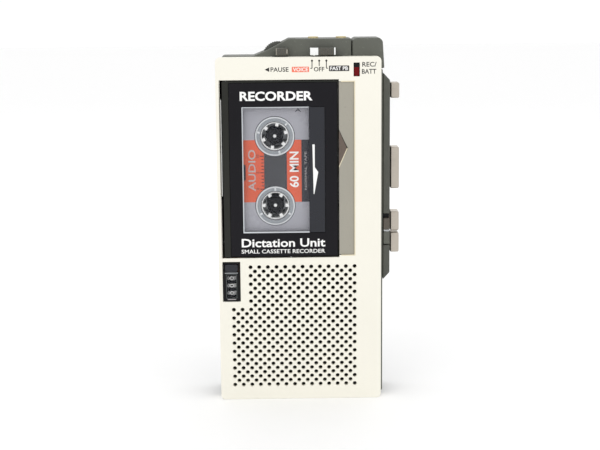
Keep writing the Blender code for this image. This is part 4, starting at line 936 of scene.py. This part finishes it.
def build_shell_half(name, node, front, back, parting):
    """One half of the cassette: a face with its hub openings, walls, and notches for the heads."""
    low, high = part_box(node)
    outline = box_outline(low, high, 0.0, SHELL_CORNER)
    hubs = [
        circle(HUB_OPENING_RADIUS, 64, (centre.x, centre.z))
        for centre in (centre_of("takeup_hub"), centre_of("supply_hub"))
    ]
    plate = flat_piece(name + "_plate", [outline, *hubs], front, back, finish("shell"),
                       MOULD_EDGE)
    start, end = sorted((parting, front + GAP if parting > back else back - GAP))
    walls = flat_piece(
        name + "_walls", [outline, box_outline(low, high, -SHELL_WALL, SHELL_CORNER - SHELL_WALL)],
        start, end, finish("shell"), THIN_EDGE,
    )
    for piece in (plate, walls):
        cut(piece, *head_notches(piece.name, low, high))
    set_piece(joined(name, [plate, walls]), "case", "shell_grey", node)


def head_notches(name, low, high):
    """Cutters for the heads and the pinch roller at the cassette's head edge."""
    notches = []
    for piece, depth in (("tape_head", 2.8), ("erase_head", 2.8), ("pinch_roller", 3.85)):
        piece_low, piece_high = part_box(piece)
        notches.append(block(
            name + "_" + piece, (high.x - depth * MM, low.y - MM, piece_low.z - GAP),
            (high.x + MM, high.y + MM, piece_high.z + GAP), finish("shell"), 0.0,
        ))
    return notches


def hub_surround(index, hub, first, face, radius):
    """Raised ring round a hub window, with a dark outline, a bright rim and three ribs."""
    def turned_ring(name, outer, inner, proud, material):
        return lathe(
            f"{name}_{index}", ring_profile(outer, inner, face - proud, face + 0.02 * MM, 0.04 * MM),
            (hub.x, 0.0, hub.z), material, steps=72,
        )

    pieces = [
        turned_ring("surround_outline", radius + 0.14 * MM, radius - 0.05 * MM, 0.06 * MM,
                    finish("label_dark")),
        turned_ring("surround_rim", radius - 0.05 * MM, radius - 0.5 * MM, 0.2 * MM,
                    finish("shell_light")),
        turned_ring("surround_ring", radius - 0.5 * MM, 4.66 * MM, 0.12 * MM, finish("shell_ring")),
    ]
    for rib in range(3):
        bar = block(
            f"surround_rib_{index}_{rib}",
            (4.7 * MM, face - 0.2 * MM, -0.32 * MM), (radius - 0.3 * MM, face, 0.32 * MM),
            finish("shell_light"), 0.06 * MM, 2,
        )
        pieces.append(turned_in_place(bar, hub, first + 120 * rib))
    return pieces


def label_print(face):
    """Words, scale and notch mark printed on the cassette label."""
    dark, grey, white = finish("label_dark"), finish("label_grey"), finish("white_ink")
    thin = sizes().ink_thickness
    marks = []

    def word(name, words, x, z, height, material, width=None, weight=0.0, turn=90.0):
        marks.append(lettering(
            name, words, (x * MM, face, z * MM), height * MM, material, width and width * MM, turn,
            weight=weight,
        ))

    word("label_word", "AUDIO", -14.7, 73.4, 2.3, grey, 13.0, 0.01)
    word("label_minutes", "60 MIN", -1.55, 73.6, 2.9, white, 11.2, 0.02)
    word("label_small", "NORMAL TAPE", 2.05, 73.2, 0.7, grey, 12.0)
    scale_right, tick_width = -11.0 * MM, 0.26 * MM
    for count in range(11):
        z = (67.4 + count * 1.03) * MM
        reach = 1.15 * MM if count % 5 == 0 else 0.75 * MM
        marks.append(flat_piece(
            f"scale_tick_{count}",
            [rectangle(scale_right - reach, z, scale_right, z + tick_width)],
            face - thin, face, dark,
        ))
    for number, z in (("0", 67.6), ("5", 72.7), ("10", 77.9)):
        word(f"scale_{number}", number, -12.9, z, 0.85, dark)
    marks.append(flat_piece(
        "side_notch",
        [rounded_outline(-17.6 * MM, 70.3 * MM, -16.65 * MM, 75.3 * MM, 0.45 * MM)],
        face - thin, face, dark,
    ))
    word("side_mark", "A", -0.2, 92.1, 1.1, dark, 1.9, turn=0.0)
    return marks


def build_reels():
    """Both reels: toothed hub, wound tape, black spindle with its bright pin, and gear."""
    for side, phase, tape_node in (("takeup", 18.0, "takeup_tape"), ("supply", 0.0, "supply_tape")):
        body = side + "_reel"
        hub_low, hub_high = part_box(side + "_hub")
        centre = centre_of(side + "_hub")
        axis = (centre.x, centre.z)
        bore = toothed_bore(axis, math.radians(phase), 4.05 * MM, 3.15 * MM, 1.0 * MM)
        tube = flat_piece(side + "_hub_tube", [circle(4.4 * MM, 72, axis), bore],
                          hub_low.y, hub_high.y, finish("white"), 0.12 * MM)
        flange = lathe(
            side + "_hub_flange",
            ring_profile(5.25 * MM, 4.3 * MM, hub_low.y + 1.3 * MM, hub_high.y - 1.3 * MM, 0.1 * MM),
            (centre.x, 0.0, centre.z), finish("white"),
        )
        hub = joined(side + "_hub_moulding", [tube, flange])
        set_piece(hub, body, "white_plastic", side + "_hub")
        tape_low, tape_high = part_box(tape_node)
        pack = lathe(
            side + "_tape_pack",
            ring_profile((tape_high.x - tape_low.x) / 2, 5.62 * MM, tape_low.y, tape_high.y,
                         0.05 * MM),
            (centre.x, 0.0, centre.z), finish("tape"), steps=96,
        )
        set_piece(pack, body, "tape", tape_node)
        build_spindle(side, body, centre)
        carry(side + "_gear", finish("white"))


def build_spindle(side, body, centre):
    low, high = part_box(side + "_spindle")
    radius = 2.68 * MM
    shaft = 1.5 * MM
    shoulder = high.y - 4.05 * MM
    post = lathe(
        side + "_spindle_post",
        [
            (0.0, low.y + 0.62 * MM), (1.4 * MM, low.y + 0.62 * MM), (2.2 * MM, low.y + 0.8 * MM),
            (radius, low.y + 1.5 * MM), (radius, shoulder), (shaft, shoulder), (shaft, high.y),
            (0.0, high.y),
        ],
        (centre.x, 0.0, centre.z), finish("black"), steps=48,
    )
    pieces = [post]
    for fin in range(3):
        bar = block(
            f"{side}_spindle_fin_{fin}",
            (1.6 * MM, low.y + 1.0 * MM, -0.35 * MM), (3.0 * MM, shoulder, 0.35 * MM),
            finish("black"), 0.1 * MM, 2,
        )
        pieces.append(turned_in_place(bar, centre, 30 + 120 * fin))
    pieces.append(lathe(
        side + "_spindle_pin",
        [(0.0, low.y), (0.35 * MM, low.y + 0.03 * MM), (0.5 * MM, low.y + 0.2 * MM),
         (0.5 * MM, low.y + 0.8 * MM), (0.0, low.y + 0.8 * MM)],
        (centre.x, 0.0, centre.z), finish("white"), steps=24,
    ))
    set_piece(joined(side + "_spindle_assembly", pieces), body, "black_plastic", side + "_spindle")


# ---------------------------------------------------------------- counter and lens

def build_counter_frame():
    """Black frame with bright moulded lines round the pane, painted highlights on the button's ledge
    and low on the frame, a clear pane over the wheels and a button hole.
    """
    low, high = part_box("counter_bezel")
    button_low, button_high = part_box("counter_reset_button")
    lip, line = 1.2 * MM, 0.12 * MM
    line_front, line_back = low.y - 0.02 * MM, low.y + 0.1 * MM
    outline = box_outline(low, high, 0.0, 0.9 * MM)
    hole = box_outline(button_low, button_high, FIT, FIT)
    pane_box = (low.x + lip, low.z + lip, high.x - lip, button_low.z - lip)
    frame_plate = flat_piece(
        "counter_plate", [outline, hole, rounded_outline(*pane_box, FIT)], low.y, high.y,
        finish("black"), SMALL_EDGE,
    )
    left, bottom, right, top = pane_box
    edge = flat_piece(
        "counter_edge",
        [rounded_outline(left - 2 * line, bottom - 2 * line, right + 2 * line, top + 4 * line, FIT),
         rounded_outline(left - line, bottom - line, right + line, top + 3 * line, FIT)],
        line_front, line_back, finish("counter_edge"), LINE_EDGE,
    )
    # Painted highlight: a light line along the ledge under the button hole
    ledge = block(
        "counter_ledge_highlight", (button_low.x, line_front, button_low.z - FIT - 2 * line),
        (button_high.x, line_back, button_low.z - FIT - 0.5 * line),
        finish("edge_highlight"), 0.03 * MM,
    )
    # Painted highlight: a light band low on the black frame
    glint = block(
        "counter_glint", (left + line, line_front, low.z + 4 * line),
        (right - line, line_back, low.z + 6 * line), finish("label_grey"), THIN_EDGE,
    )
    set_piece(joined("counter_frame", [frame_plate, edge, ledge, glint]), "case",
              "black_plastic", "counter_bezel")
    pane = block(
        "counter_pane", (left, low.y + 0.25 * MM, bottom), (right, low.y + 0.5 * MM, top),
        finish("window"), THIN_EDGE,
    )
    set_piece(pane, "case", "clear_window")


def build_counter():
    build_counter_frame()
    button = refined("reset_button", "counter_reset_button", finish("navy"), 0.2 * MM, 30.0)
    set_piece(button, "counter_reset", "strip_grey", "counter_reset_button")
    carry("counter_axle", finish("steel"))
    for name in ("hundreds", "tens", "units"):
        node = "counter_drum_" + name
        low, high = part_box(node)
        centre = centre_of(node)
        radius = (high.x - low.x) / 2
        drum = lathe(
            node + "_body", ring_profile(radius, 0.55 * MM, low.z, high.z, 0.12 * MM),
            (centre.x, centre.y, 0.0), finish("black"), "Z", 60,
        )
        digits = [drum]
        for digit in range(10):
            figure = lettering(
                f"{node}_figure_{digit}", str(digit), (0.0, -radius + 0.005 * MM, 0.0),
                1.45 * MM, finish("white_ink"), 1.25 * MM, turn=-90.0, thick=0.03 * MM,
                weight=0.03,
            )
            turn = Matrix.Rotation(math.radians(36 * digit), 4, "Z")
            figure.data.transform(Matrix.Translation(centre) @ turn)
            digits.append(figure)
        set_piece(joined(node + "_wheel", digits), "counter_" + name, "black_plastic", node)


def build_lens():
    low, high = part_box("led_lens")
    lens = block("indicator_lens", (low.x, low.y + 0.05 * MM, low.z),
                 (high.x, high.y, low.z + 2.75 * MM), finish("lens"), 0.3 * MM, 4)
    # The top of the lens is black: a black block over its upper part
    cap = block("indicator_black_top", (low.x, low.y + 0.12 * MM, low.z + 2.4 * MM),
                (high.x, high.y, high.z), finish("black"), 0.3 * MM, 4)
    set_piece(joined("indicator", [lens, cap]), "case", "red_lens", "led_lens")


# ---------------------------------------------------------------- top controls

KNOB_HEIGHT = 2.4 * MM
DIAL_RIBS = 44
DIAL_REACH = 4.98 * MM        # from the wheel's axis to the top of a rib
DIAL_RIB_HEIGHT = 0.24 * MM


def ribbed_knob(name, node, ribs, rib_material, pieces_after=()):
    """Slider knob: body from its solid, with upright ribs on the face and the top."""
    low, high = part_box(node)
    knob_low = high.z - KNOB_HEIGHT
    pieces = [refined(name, node, finish("olive_dark"), 0.2 * MM)]
    span = high.x - low.x
    for rib in range(ribs):
        x = low.x + span * (rib + 0.5) / ribs
        pieces.append(block(
            f"{name}_rib_{rib}", (x - 0.13 * MM, low.y - 0.1 * MM, knob_low + 0.2 * MM),
            (x + 0.13 * MM, high.y - 0.2 * MM, high.z - 0.02 * MM), rib_material, 0.08 * MM, 2,
        ))
    pieces += list(pieces_after)
    return joined(name + "_assembly", pieces)


def build_sliders():
    low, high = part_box("pause_slider")
    knob_low = high.z - KNOB_HEIGHT
    # Painted highlights: a thin light line at the knob's left end and a light patch at its right end
    edges = [
        block("pause_highlight_left", (low.x, low.y - 0.12 * MM, knob_low + 0.3 * MM),
              (low.x + 0.2 * MM, high.y - 0.2 * MM, high.z - 0.1 * MM), finish("strip"), 0.06 * MM),
        block("pause_highlight_right", (high.x - 0.7 * MM, low.y - 0.12 * MM, knob_low + 0.7 * MM),
              (high.x - 0.3 * MM, high.y - 0.2 * MM, high.z - 0.4 * MM), finish("strip"),
              0.12 * MM),
    ]
    pause = ribbed_knob("pause_knob", "pause_slider", 6, finish("switch"), edges)
    set_piece(pause, "pause_switch", "olive_plastic", "pause_slider")
    low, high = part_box("mode_slider")
    knob_low = high.z - KNOB_HEIGHT
    white = finish("white")
    extras = [
        block("mode_white_block", (low.x, low.y - 0.16 * MM, knob_low + 0.15 * MM),
              (low.x + 2.5 * MM, high.y, high.z), white, 0.12 * MM),
        block("mode_pointer", (low.x + 0.95 * MM, low.y - 0.2 * MM, knob_low),
              (low.x + 1.45 * MM, low.y, knob_low + 1.6 * MM), white, 0.05 * MM),
        block("mode_white_line", (high.x - 0.45 * MM, low.y - 0.16 * MM, knob_low + 0.2 * MM),
              (high.x, high.y, high.z), white, 0.08 * MM),
    ]
    mode = ribbed_knob("mode_knob", "mode_slider", 12, finish("switch"), extras)
    set_piece(mode, "mode_switch", "olive_plastic", "mode_slider")


def build_dial():
    low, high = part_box("volume_dial")
    centre = centre_of("volume_dial")
    boss_radius = 1.6 * MM
    outline = []
    for index in range(DIAL_RIBS * 4):
        wave = 0.5 + 0.5 * math.cos(2 * math.pi * index / 4)
        reach = DIAL_REACH - DIAL_RIB_HEIGHT * wave
        angle = 2 * math.pi * index / (DIAL_RIBS * 4)
        outline.append((centre.x + reach * math.cos(angle), centre.z + reach * math.sin(angle)))
    wheel = flat_piece("volume_wheel_rim", [outline], low.y, high.y, finish("olive_dark"),
                       MOULD_EDGE)
    boss = lathe(
        "volume_wheel_boss",
        [(0.0, low.y), (boss_radius, low.y), (boss_radius, high.y), (0.0, high.y)],
        (centre.x, 0.0, centre.z), finish("black"), steps=32,
    )
    set_piece(joined("volume_wheel", [wheel, boss]), "volume_knob", "olive_plastic", "volume_dial")


def build_jacks():
    """Dark sockets with a bright plated collar round each opening."""
    outer, bore, collar_depth = 1.62 * MM, 1.25 * MM, 2.4 * MM
    for node in ("microphone_jack", "earphone_jack"):
        low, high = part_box(node)
        axis = (centre_of(node).x, centre_of(node).y, 0.0)
        foot = high.z - collar_depth
        collar = lathe(
            node + "_collar",
            [
                (bore, foot), (bore, high.z - 0.15 * MM), (bore + 0.12 * MM, high.z),
                (outer - 0.1 * MM, high.z), (outer, high.z - 0.12 * MM), (outer, foot), (bore, foot),
            ],
            axis, finish("brass"), "Z", 48,
        )
        body = block(
            node + "_body", (low.x + 0.05 * MM, low.y, low.z),
            (high.x - 0.05 * MM, high.y, high.z - 2.1 * MM), finish("black"), 0.2 * MM,
        )
        cutters = [
            lathe(node + "_bore", [(0.0, start), (radius, start), (radius, high.z), (0.0, high.z)],
                  axis, finish("black"), "Z", 32)
            for radius, start in ((outer + 0.01 * MM, foot), (bore, low.z + 1.2 * MM))
        ]
        cut(body, *cutters)
        set_piece(joined(node + "_socket", [body, collar]), "case", "brass", node)


# ---------------------------------------------------------------- case, keys and back

PLATE_RECESS = (-4.0 * MM, 58.0 * MM, 21.0 * MM, 92.0 * MM)     # left, low, right, high
RULE_HALF_WIDTH = 10.0 * MM


def build_case():
    case = refined("case_shell", "rear_case", finish("olive"), 0.35 * MM)
    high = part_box("rear_case")[1]
    left, bottom, right, top = PLATE_RECESS
    recess = flat_piece(
        "label_recess", [rounded_outline(*PLATE_RECESS, 1.2 * MM)], high.y - 0.3 * MM, high.y + MM,
        finish("olive"),
    )
    cut(case, recess)
    set_piece(case, "case", "olive_plastic", "rear_case")
    inset = 0.25 * MM
    plate = flat_piece(
        "rating_plate",
        [rounded_outline(left + inset, bottom + inset, right - inset, top - inset, MM)],
        high.y - 0.28 * MM, high.y - 0.08 * MM, finish("stamped"), 0.04 * MM,
    )
    set_piece(plate, "case", "bright_steel")
    build_rating_words(high.y - 0.08 * MM, (left + right) / 2)
    housing = refined("microphone_block", "microphone_housing", finish("olive"), 0.45 * MM, 30.0)
    set_piece(housing, "case", "olive_plastic", "microphone_housing")
    for node in ("case_screw_upper_left", "case_screw_upper_right", "case_screw_lower_right"):
        build_screw(node)


def build_rating_words(face, middle):
    """Plain printed words and rules on the rating plate."""
    words = [
        lettering(name, text, (middle, face, z * MM), height * MM, finish("dark_ink"),
                  width * MM, rear=True)
        for name, text, z, height, width in (
            ("rating_kind", "SMALL CASSETTE RECORDER", 87.6, 1.2, 19.0),
            ("rating_supply", "DC 3 V", 82.6, 2.0, 7.6),
            ("rating_cells", "AAA x 2", 78.6, 1.5, 7.6),
            ("rating_tape", "SMALL CASSETTE ONLY", 67.2, 1.0, 15.0),
        )
    ]
    for index, z in enumerate((85.4, 75.8, 70.0)):
        words.append(block(
            f"rating_rule_{index}", (middle - RULE_HALF_WIDTH, face, z * MM),
            (middle + RULE_HALF_WIDTH, face + 0.02 * MM, (z + 0.15) * MM), finish("dark_ink"), 0.0,
        ))
    set_piece(joined("rating_words", words), "case", "black_plastic")


def build_screw(node):
    low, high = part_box(node)
    centre = centre_of(node)
    head = 1.58 * MM
    screw = lathe(
        node + "_turned",
        [
            (0.0, low.y), (0.5 * MM, low.y + 0.3 * MM), (0.78 * MM, low.y + 0.6 * MM),
            (0.78 * MM, high.y - 0.6 * MM), (head, high.y - 0.45 * MM), (head, high.y - 0.2 * MM),
            (1.2 * MM, high.y - 0.02 * MM), (0.0, high.y),
        ],
        (centre.x, 0.0, centre.z), finish("steel"), steps=36,
    )
    cutters = []
    for name, half_x, half_z in (("_slot_a", 0.95, 0.17), ("_slot_b", 0.17, 0.95)):
        cutters.append(block(
            node + name,
            (centre.x - half_x * MM, high.y - 0.4 * MM, centre.z - half_z * MM),
            (centre.x + half_x * MM, high.y + 0.3 * MM, centre.z + half_z * MM), finish("steel"),
            0.0,
        ))
    cut(screw, *cutters)
    set_piece(screw, "case", "bright_steel", node)


def build_rail():
    rail = refined("rail_moulding", "key_rail", finish("olive_rail"), 0.25 * MM)
    set_piece(rail, "case", "olive_plastic", "key_rail")
    low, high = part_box("speed_switch")
    pieces = [
        block("speed_switch_upper", (low.x, low.y, 53.7 * MM), (high.x, high.y, high.z),
              finish("switch"), 0.15 * MM),
        block("speed_switch_lower", (low.x, low.y, low.z), (high.x, high.y, 53.1 * MM),
              finish("olive"), 0.15 * MM),
        # Painted highlight: a light line between the switch's two blocks
        block("speed_switch_highlight", (low.x + 0.1 * MM, low.y + 0.35 * MM, 52.9 * MM),
              (high.x - 0.1 * MM, high.y, 53.9 * MM), finish("edge_highlight"), 0.08 * MM),
    ]
    set_piece(joined("speed_switch_knob", pieces), "speed_selector", "olive_plastic", "speed_switch")
    # Painted shade: a black sheet behind the switch, where its slot lies in shadow
    slot_shadow = block(
        "speed_switch_slot_shadow", (low.x - 0.1 * MM, high.y + 0.15 * MM, low.z - 0.25 * MM),
        (high.x - 0.1 * MM, high.y + 0.27 * MM, high.z + 1.45 * MM), finish("black"), 0.0,
    )
    set_piece(slot_shadow, "case", "black_plastic")


def build_keys():
    for node, body in (
        ("record_key", "record_button"), ("play_key", "play_button"),
        ("forward_key", "forward_button"), ("rewind_key", "rewind_button"),
    ):
        key = refined(node + "_cap", node, finish("key"), 0.1 * MM, 30.0)
        set_piece(key, body, "champagne_metal", node)


def build_hatch():
    """Battery cover with its thumb grip and an opening arrow."""
    low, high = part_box("battery_cover")
    pieces = [refined("hatch_shell", "battery_cover", finish("olive"), 0.25 * MM)]
    pieces.append(flat_piece(
        "hatch_arrow",
        [[(-20.5 * MM, 26.5 * MM), (-16.0 * MM, 23.8 * MM), (-16.0 * MM, 29.2 * MM)]],
        high.y - 0.1 * MM, high.y, finish("olive_dark"),
    ))
    for rib in range(9):
        z = (20.4 + 1.65 * rib) * MM
        pieces.append(block(
            f"grip_rib_{rib}", (low.x, 0.3 * MM, z), (low.x + 0.6 * MM, 6.0 * MM, z + 0.7 * MM),
            finish("olive_dark"), 0.14 * MM,
        ))
    hatch = joined("battery_hatch_assembly", pieces)
    set_piece(hatch, "battery_hatch", "olive_plastic", "battery_cover")


# ---------------------------------------------------------------- inside

INNER_FINISHES = {
    "chassis_plate": "stamped", "head_slide": "stamped", "pinch_arm": "stamped",
    "tape_head": "steel", "erase_head": "black", "idler_gear": "white", "capstan": "steel",
    "flywheel": "brass", "motor_pulley": "brass", "drive_belt": "rubber",
    "pinch_roller": "rubber", "battery_left": "jacket", "battery_right": "jacket",
    "battery_spring": "steel", "battery_strap": "stamped", "microphone_capsule": "steel",
    "speaker_frame": "black", "speaker_cone": "paper", "motor": "stamped",
    "circuit_board": "board",
}


def build_inside():
    for node, material in INNER_FINISHES.items():
        carry(node, finish(material))
    build_board_parts()


def build_board_parts():
    """Chips, capacitors and resistors on the front of the circuit board."""
    low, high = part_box("circuit_board")
    drive_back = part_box("flywheel")[1].y
    room = low.y - drive_back - 0.1 * MM
    parts = []
    for column in range(6):
        for row in range(3):
            x = (low.x + 3.0 * MM) + column * 7.6 * MM
            z = high.z - 3.5 * MM - row * 3.2 * MM
            parts.append(block(
                f"board_part_{column}_{row}", (x, low.y - room, z),
                (x + (2.0 + (column + row) % 3) * MM, low.y - 0.01 * MM, z + 1.4 * MM),
                finish("black" if (column + row) % 2 else "brass"), 0.08 * MM, 2,
            ))
    set_piece(joined("board_components", parts), "case", "black_plastic")


# ---------------------------------------------------------------- stage

CAMERA_PLACE = (-6.30 * MM, -409.2 * MM, 127.04 * MM)
CAMERA_PITCH = 10.014
CAMERA_ROLL = 0.509
CAMERA_YAW = -0.915
CAMERA_LENS = 78.0
LIT_POINT = (0.0, 0.0, 0.055)
LIGHTS = (                    # name, place, side, share of the main light's power
    ("main_light", (-0.35, -0.7, 0.75), 0.6, 1.0),
    ("fill_light", (0.6, -0.5, 0.5), 0.5, 0.35),
    ("back_light", (0.1, 0.6, 0.6), 0.5, 0.5),
)


def build_camera():
    camera = bpy.data.cameras.new("studio_camera")
    camera.lens = CAMERA_LENS
    camera.sensor_width = 36.0
    camera.clip_start = 0.01
    obj = linked("studio_camera", camera)
    turn = (
        Matrix.Rotation(math.radians(CAMERA_YAW), 4, "Z")
        @ Matrix.Rotation(math.radians(-CAMERA_PITCH), 4, "X")
        @ Matrix.Rotation(math.radians(CAMERA_ROLL), 4, "Y")
        @ Matrix.Rotation(QUARTER_TURN, 4, "X")
    )
    obj.matrix_world = Matrix.Translation(CAMERA_PLACE) @ turn
    bpy.context.scene.camera = obj


def soft_light(name, place, target, size, power):
    light = bpy.data.lights.new(name, "AREA")
    light.shape = "SQUARE"
    light.size = size
    light.energy = power
    obj = linked(name, light)
    obj.location = place
    obj.rotation_euler = (Vector(target) - Vector(place)).to_track_quat("-Z", "Y").to_euler()


def build_stage():
    setting = sizes()
    shape = bmesh.new()
    bmesh.ops.create_grid(shape, x_segments=1, y_segments=1, size=3.0)
    floor = from_bmesh("studio_floor", shape, finish("floor"))
    world = bpy.data.worlds.new("studio_world")
    bpy.context.scene.world = world
    world.use_nodes = True
    background = world.node_tree.nodes["Background"]
    background.inputs["Color"].default_value = (1.0, 1.0, 1.0, 1.0)
    background.inputs["Strength"].default_value = setting.world_light
    for name, place, side, share in LIGHTS:
        soft_light(name, place, LIT_POINT, side, setting.light_power * share)
    build_camera()
    bpy.context.scene.view_settings.view_transform = "Standard"


# ---------------------------------------------------------------- add-on

class RECORDER_OT_materials(bpy.types.Operator):
    """Make every finish that the pieces use."""
    bl_idname = "recorder.materials"
    bl_label = "Materials"
    bl_options = {"REGISTER", "UNDO"}

    def execute(self, context):
        make_materials(context.scene.recorder_colours)
        return {"FINISHED"}


class RECORDER_OT_cover(bpy.types.Operator):
    """Build the front cover with its sound holes and the cloth behind them."""
    bl_idname = "recorder.cover"
    bl_label = "Front cover"
    bl_options = {"REGISTER", "UNDO"}

    def execute(self, context):
        build_cover()
        return {"FINISHED"}


class RECORDER_OT_marks(bpy.types.Operator):
    """Print the words and marks above the door."""
    bl_idname = "recorder.marks"
    bl_label = "Cover marks"
    bl_options = {"REGISTER", "UNDO"}

    def execute(self, context):
        build_cover_marks()
        return {"FINISHED"}


class RECORDER_OT_door(bpy.types.Operator):
    """Build the door's frame, face, window and printed words."""
    bl_idname = "recorder.door"
    bl_label = "Door"
    bl_options = {"REGISTER", "UNDO"}

    def execute(self, context):
        build_door()
        return {"FINISHED"}


class RECORDER_OT_strip(bpy.types.Operator):
    """Build the strip beside the door with its finger notch."""
    bl_idname = "recorder.strip"
    bl_label = "Latch strip"
    bl_options = {"REGISTER", "UNDO"}

    def execute(self, context):
        build_strip()
        return {"FINISHED"}


class RECORDER_OT_cassette(bpy.types.Operator):
    """Build both cassette shells and the printed label."""
    bl_idname = "recorder.cassette"
    bl_label = "Cassette"
    bl_options = {"REGISTER", "UNDO"}

    def execute(self, context):
        build_cassette()
        return {"FINISHED"}


class RECORDER_OT_reels(bpy.types.Operator):
    """Build the hubs, tape packs and spindles of both reels."""
    bl_idname = "recorder.reels"
    bl_label = "Reels"
    bl_options = {"REGISTER", "UNDO"}

    def execute(self, context):
        build_reels()
        return {"FINISHED"}


class RECORDER_OT_counter(bpy.types.Operator):
    """Build the counter's frame, number wheels and reset button."""
    bl_idname = "recorder.counter"
    bl_label = "Tape counter"
    bl_options = {"REGISTER", "UNDO"}

    def execute(self, context):
        build_counter()
        return {"FINISHED"}


class RECORDER_OT_lens(bpy.types.Operator):
    """Build the record and battery indicator."""
    bl_idname = "recorder.lens"
    bl_label = "Indicator"
    bl_options = {"REGISTER", "UNDO"}

    def execute(self, context):
        build_lens()
        return {"FINISHED"}


class RECORDER_OT_sliders(bpy.types.Operator):
    """Build the pause and mode knobs."""
    bl_idname = "recorder.sliders"
    bl_label = "Top sliders"
    bl_options = {"REGISTER", "UNDO"}

    def execute(self, context):
        build_sliders()
        return {"FINISHED"}


class RECORDER_OT_dial(bpy.types.Operator):
    """Build the ribbed volume wheel."""
    bl_idname = "recorder.dial"
    bl_label = "Volume wheel"
    bl_options = {"REGISTER", "UNDO"}

    def execute(self, context):
        build_dial()
        return {"FINISHED"}


class RECORDER_OT_jacks(bpy.types.Operator):
    """Build both jacks with their bright collars."""
    bl_idname = "recorder.jacks"
    bl_label = "Jacks"
    bl_options = {"REGISTER", "UNDO"}

    def execute(self, context):
        build_jacks()
        return {"FINISHED"}


class RECORDER_OT_case(bpy.types.Operator):
    """Build the rear case, the microphone block and the case screws."""
    bl_idname = "recorder.case"
    bl_label = "Rear case"
    bl_options = {"REGISTER", "UNDO"}

    def execute(self, context):
        build_case()
        return {"FINISHED"}


class RECORDER_OT_rail(bpy.types.Operator):
    """Build the key rail and the tape speed switch."""
    bl_idname = "recorder.rail"
    bl_label = "Key rail"
    bl_options = {"REGISTER", "UNDO"}

    def execute(self, context):
        build_rail()
        return {"FINISHED"}


class RECORDER_OT_keys(bpy.types.Operator):
    """Build the four plated side keys."""
    bl_idname = "recorder.keys"
    bl_label = "Keys"
    bl_options = {"REGISTER", "UNDO"}

    def execute(self, context):
        build_keys()
        return {"FINISHED"}


class RECORDER_OT_hatch(bpy.types.Operator):
    """Build the battery cover with its thumb grip."""
    bl_idname = "recorder.hatch"
    bl_label = "Battery cover"
    bl_options = {"REGISTER", "UNDO"}

    def execute(self, context):
        build_hatch()
        return {"FINISHED"}


class RECORDER_OT_inside(bpy.types.Operator):
    """Finish the drive, the batteries, the loudspeaker and the circuit board."""
    bl_idname = "recorder.inside"
    bl_label = "Inside"
    bl_options = {"REGISTER", "UNDO"}

    def execute(self, context):
        build_inside()
        return {"FINISHED"}


class RECORDER_OT_stage(bpy.types.Operator):
    """Build the floor, the lights and the camera."""
    bl_idname = "recorder.stage"
    bl_label = "Stage"
    bl_options = {"REGISTER", "UNDO"}

    def execute(self, context):
        build_stage()
        return {"FINISHED"}


OPERATORS = (
    RECORDER_OT_materials,
    RECORDER_OT_cover,
    RECORDER_OT_marks,
    RECORDER_OT_door,
    RECORDER_OT_strip,
    RECORDER_OT_cassette,
    RECORDER_OT_reels,
    RECORDER_OT_counter,
    RECORDER_OT_lens,
    RECORDER_OT_sliders,
    RECORDER_OT_dial,
    RECORDER_OT_jacks,
    RECORDER_OT_case,
    RECORDER_OT_rail,
    RECORDER_OT_keys,
    RECORDER_OT_hatch,
    RECORDER_OT_inside,
    RECORDER_OT_stage,
)


class RECORDER_PT_panel(bpy.types.Panel):
    """Sizes, colours and build steps of the recorder."""
    bl_idname = "RECORDER_PT_panel"
    bl_label = "Recorder"
    bl_space_type = "VIEW_3D"
    bl_region_type = "UI"
    bl_category = "Recorder"

    def draw(self, context):
        for group in (context.scene.recorder_sizes, context.scene.recorder_colours):
            box = self.layout.box()
            for name in group.__annotations__:
                box.prop(group, name)
        for step in OPERATORS:
            self.layout.operator(step.bl_idname)


CLASSES = (RecorderSizes, RecorderColours, *OPERATORS, RECORDER_PT_panel)


def register():
    for cls in CLASSES:
        bpy.utils.register_class(cls)
    bpy.types.Scene.recorder_sizes = PointerProperty(type=RecorderSizes)
    bpy.types.Scene.recorder_colours = PointerProperty(type=RecorderColours)


def unregister():
    del bpy.types.Scene.recorder_colours
    del bpy.types.Scene.recorder_sizes
    for cls in reversed(CLASSES):
        bpy.utils.unregister_class(cls)


def main():
    register()
    for step in OPERATORS:
        getattr(bpy.ops.recorder, step.bl_idname.split(".")[1])()


if __name__ == "__main__":
    main()
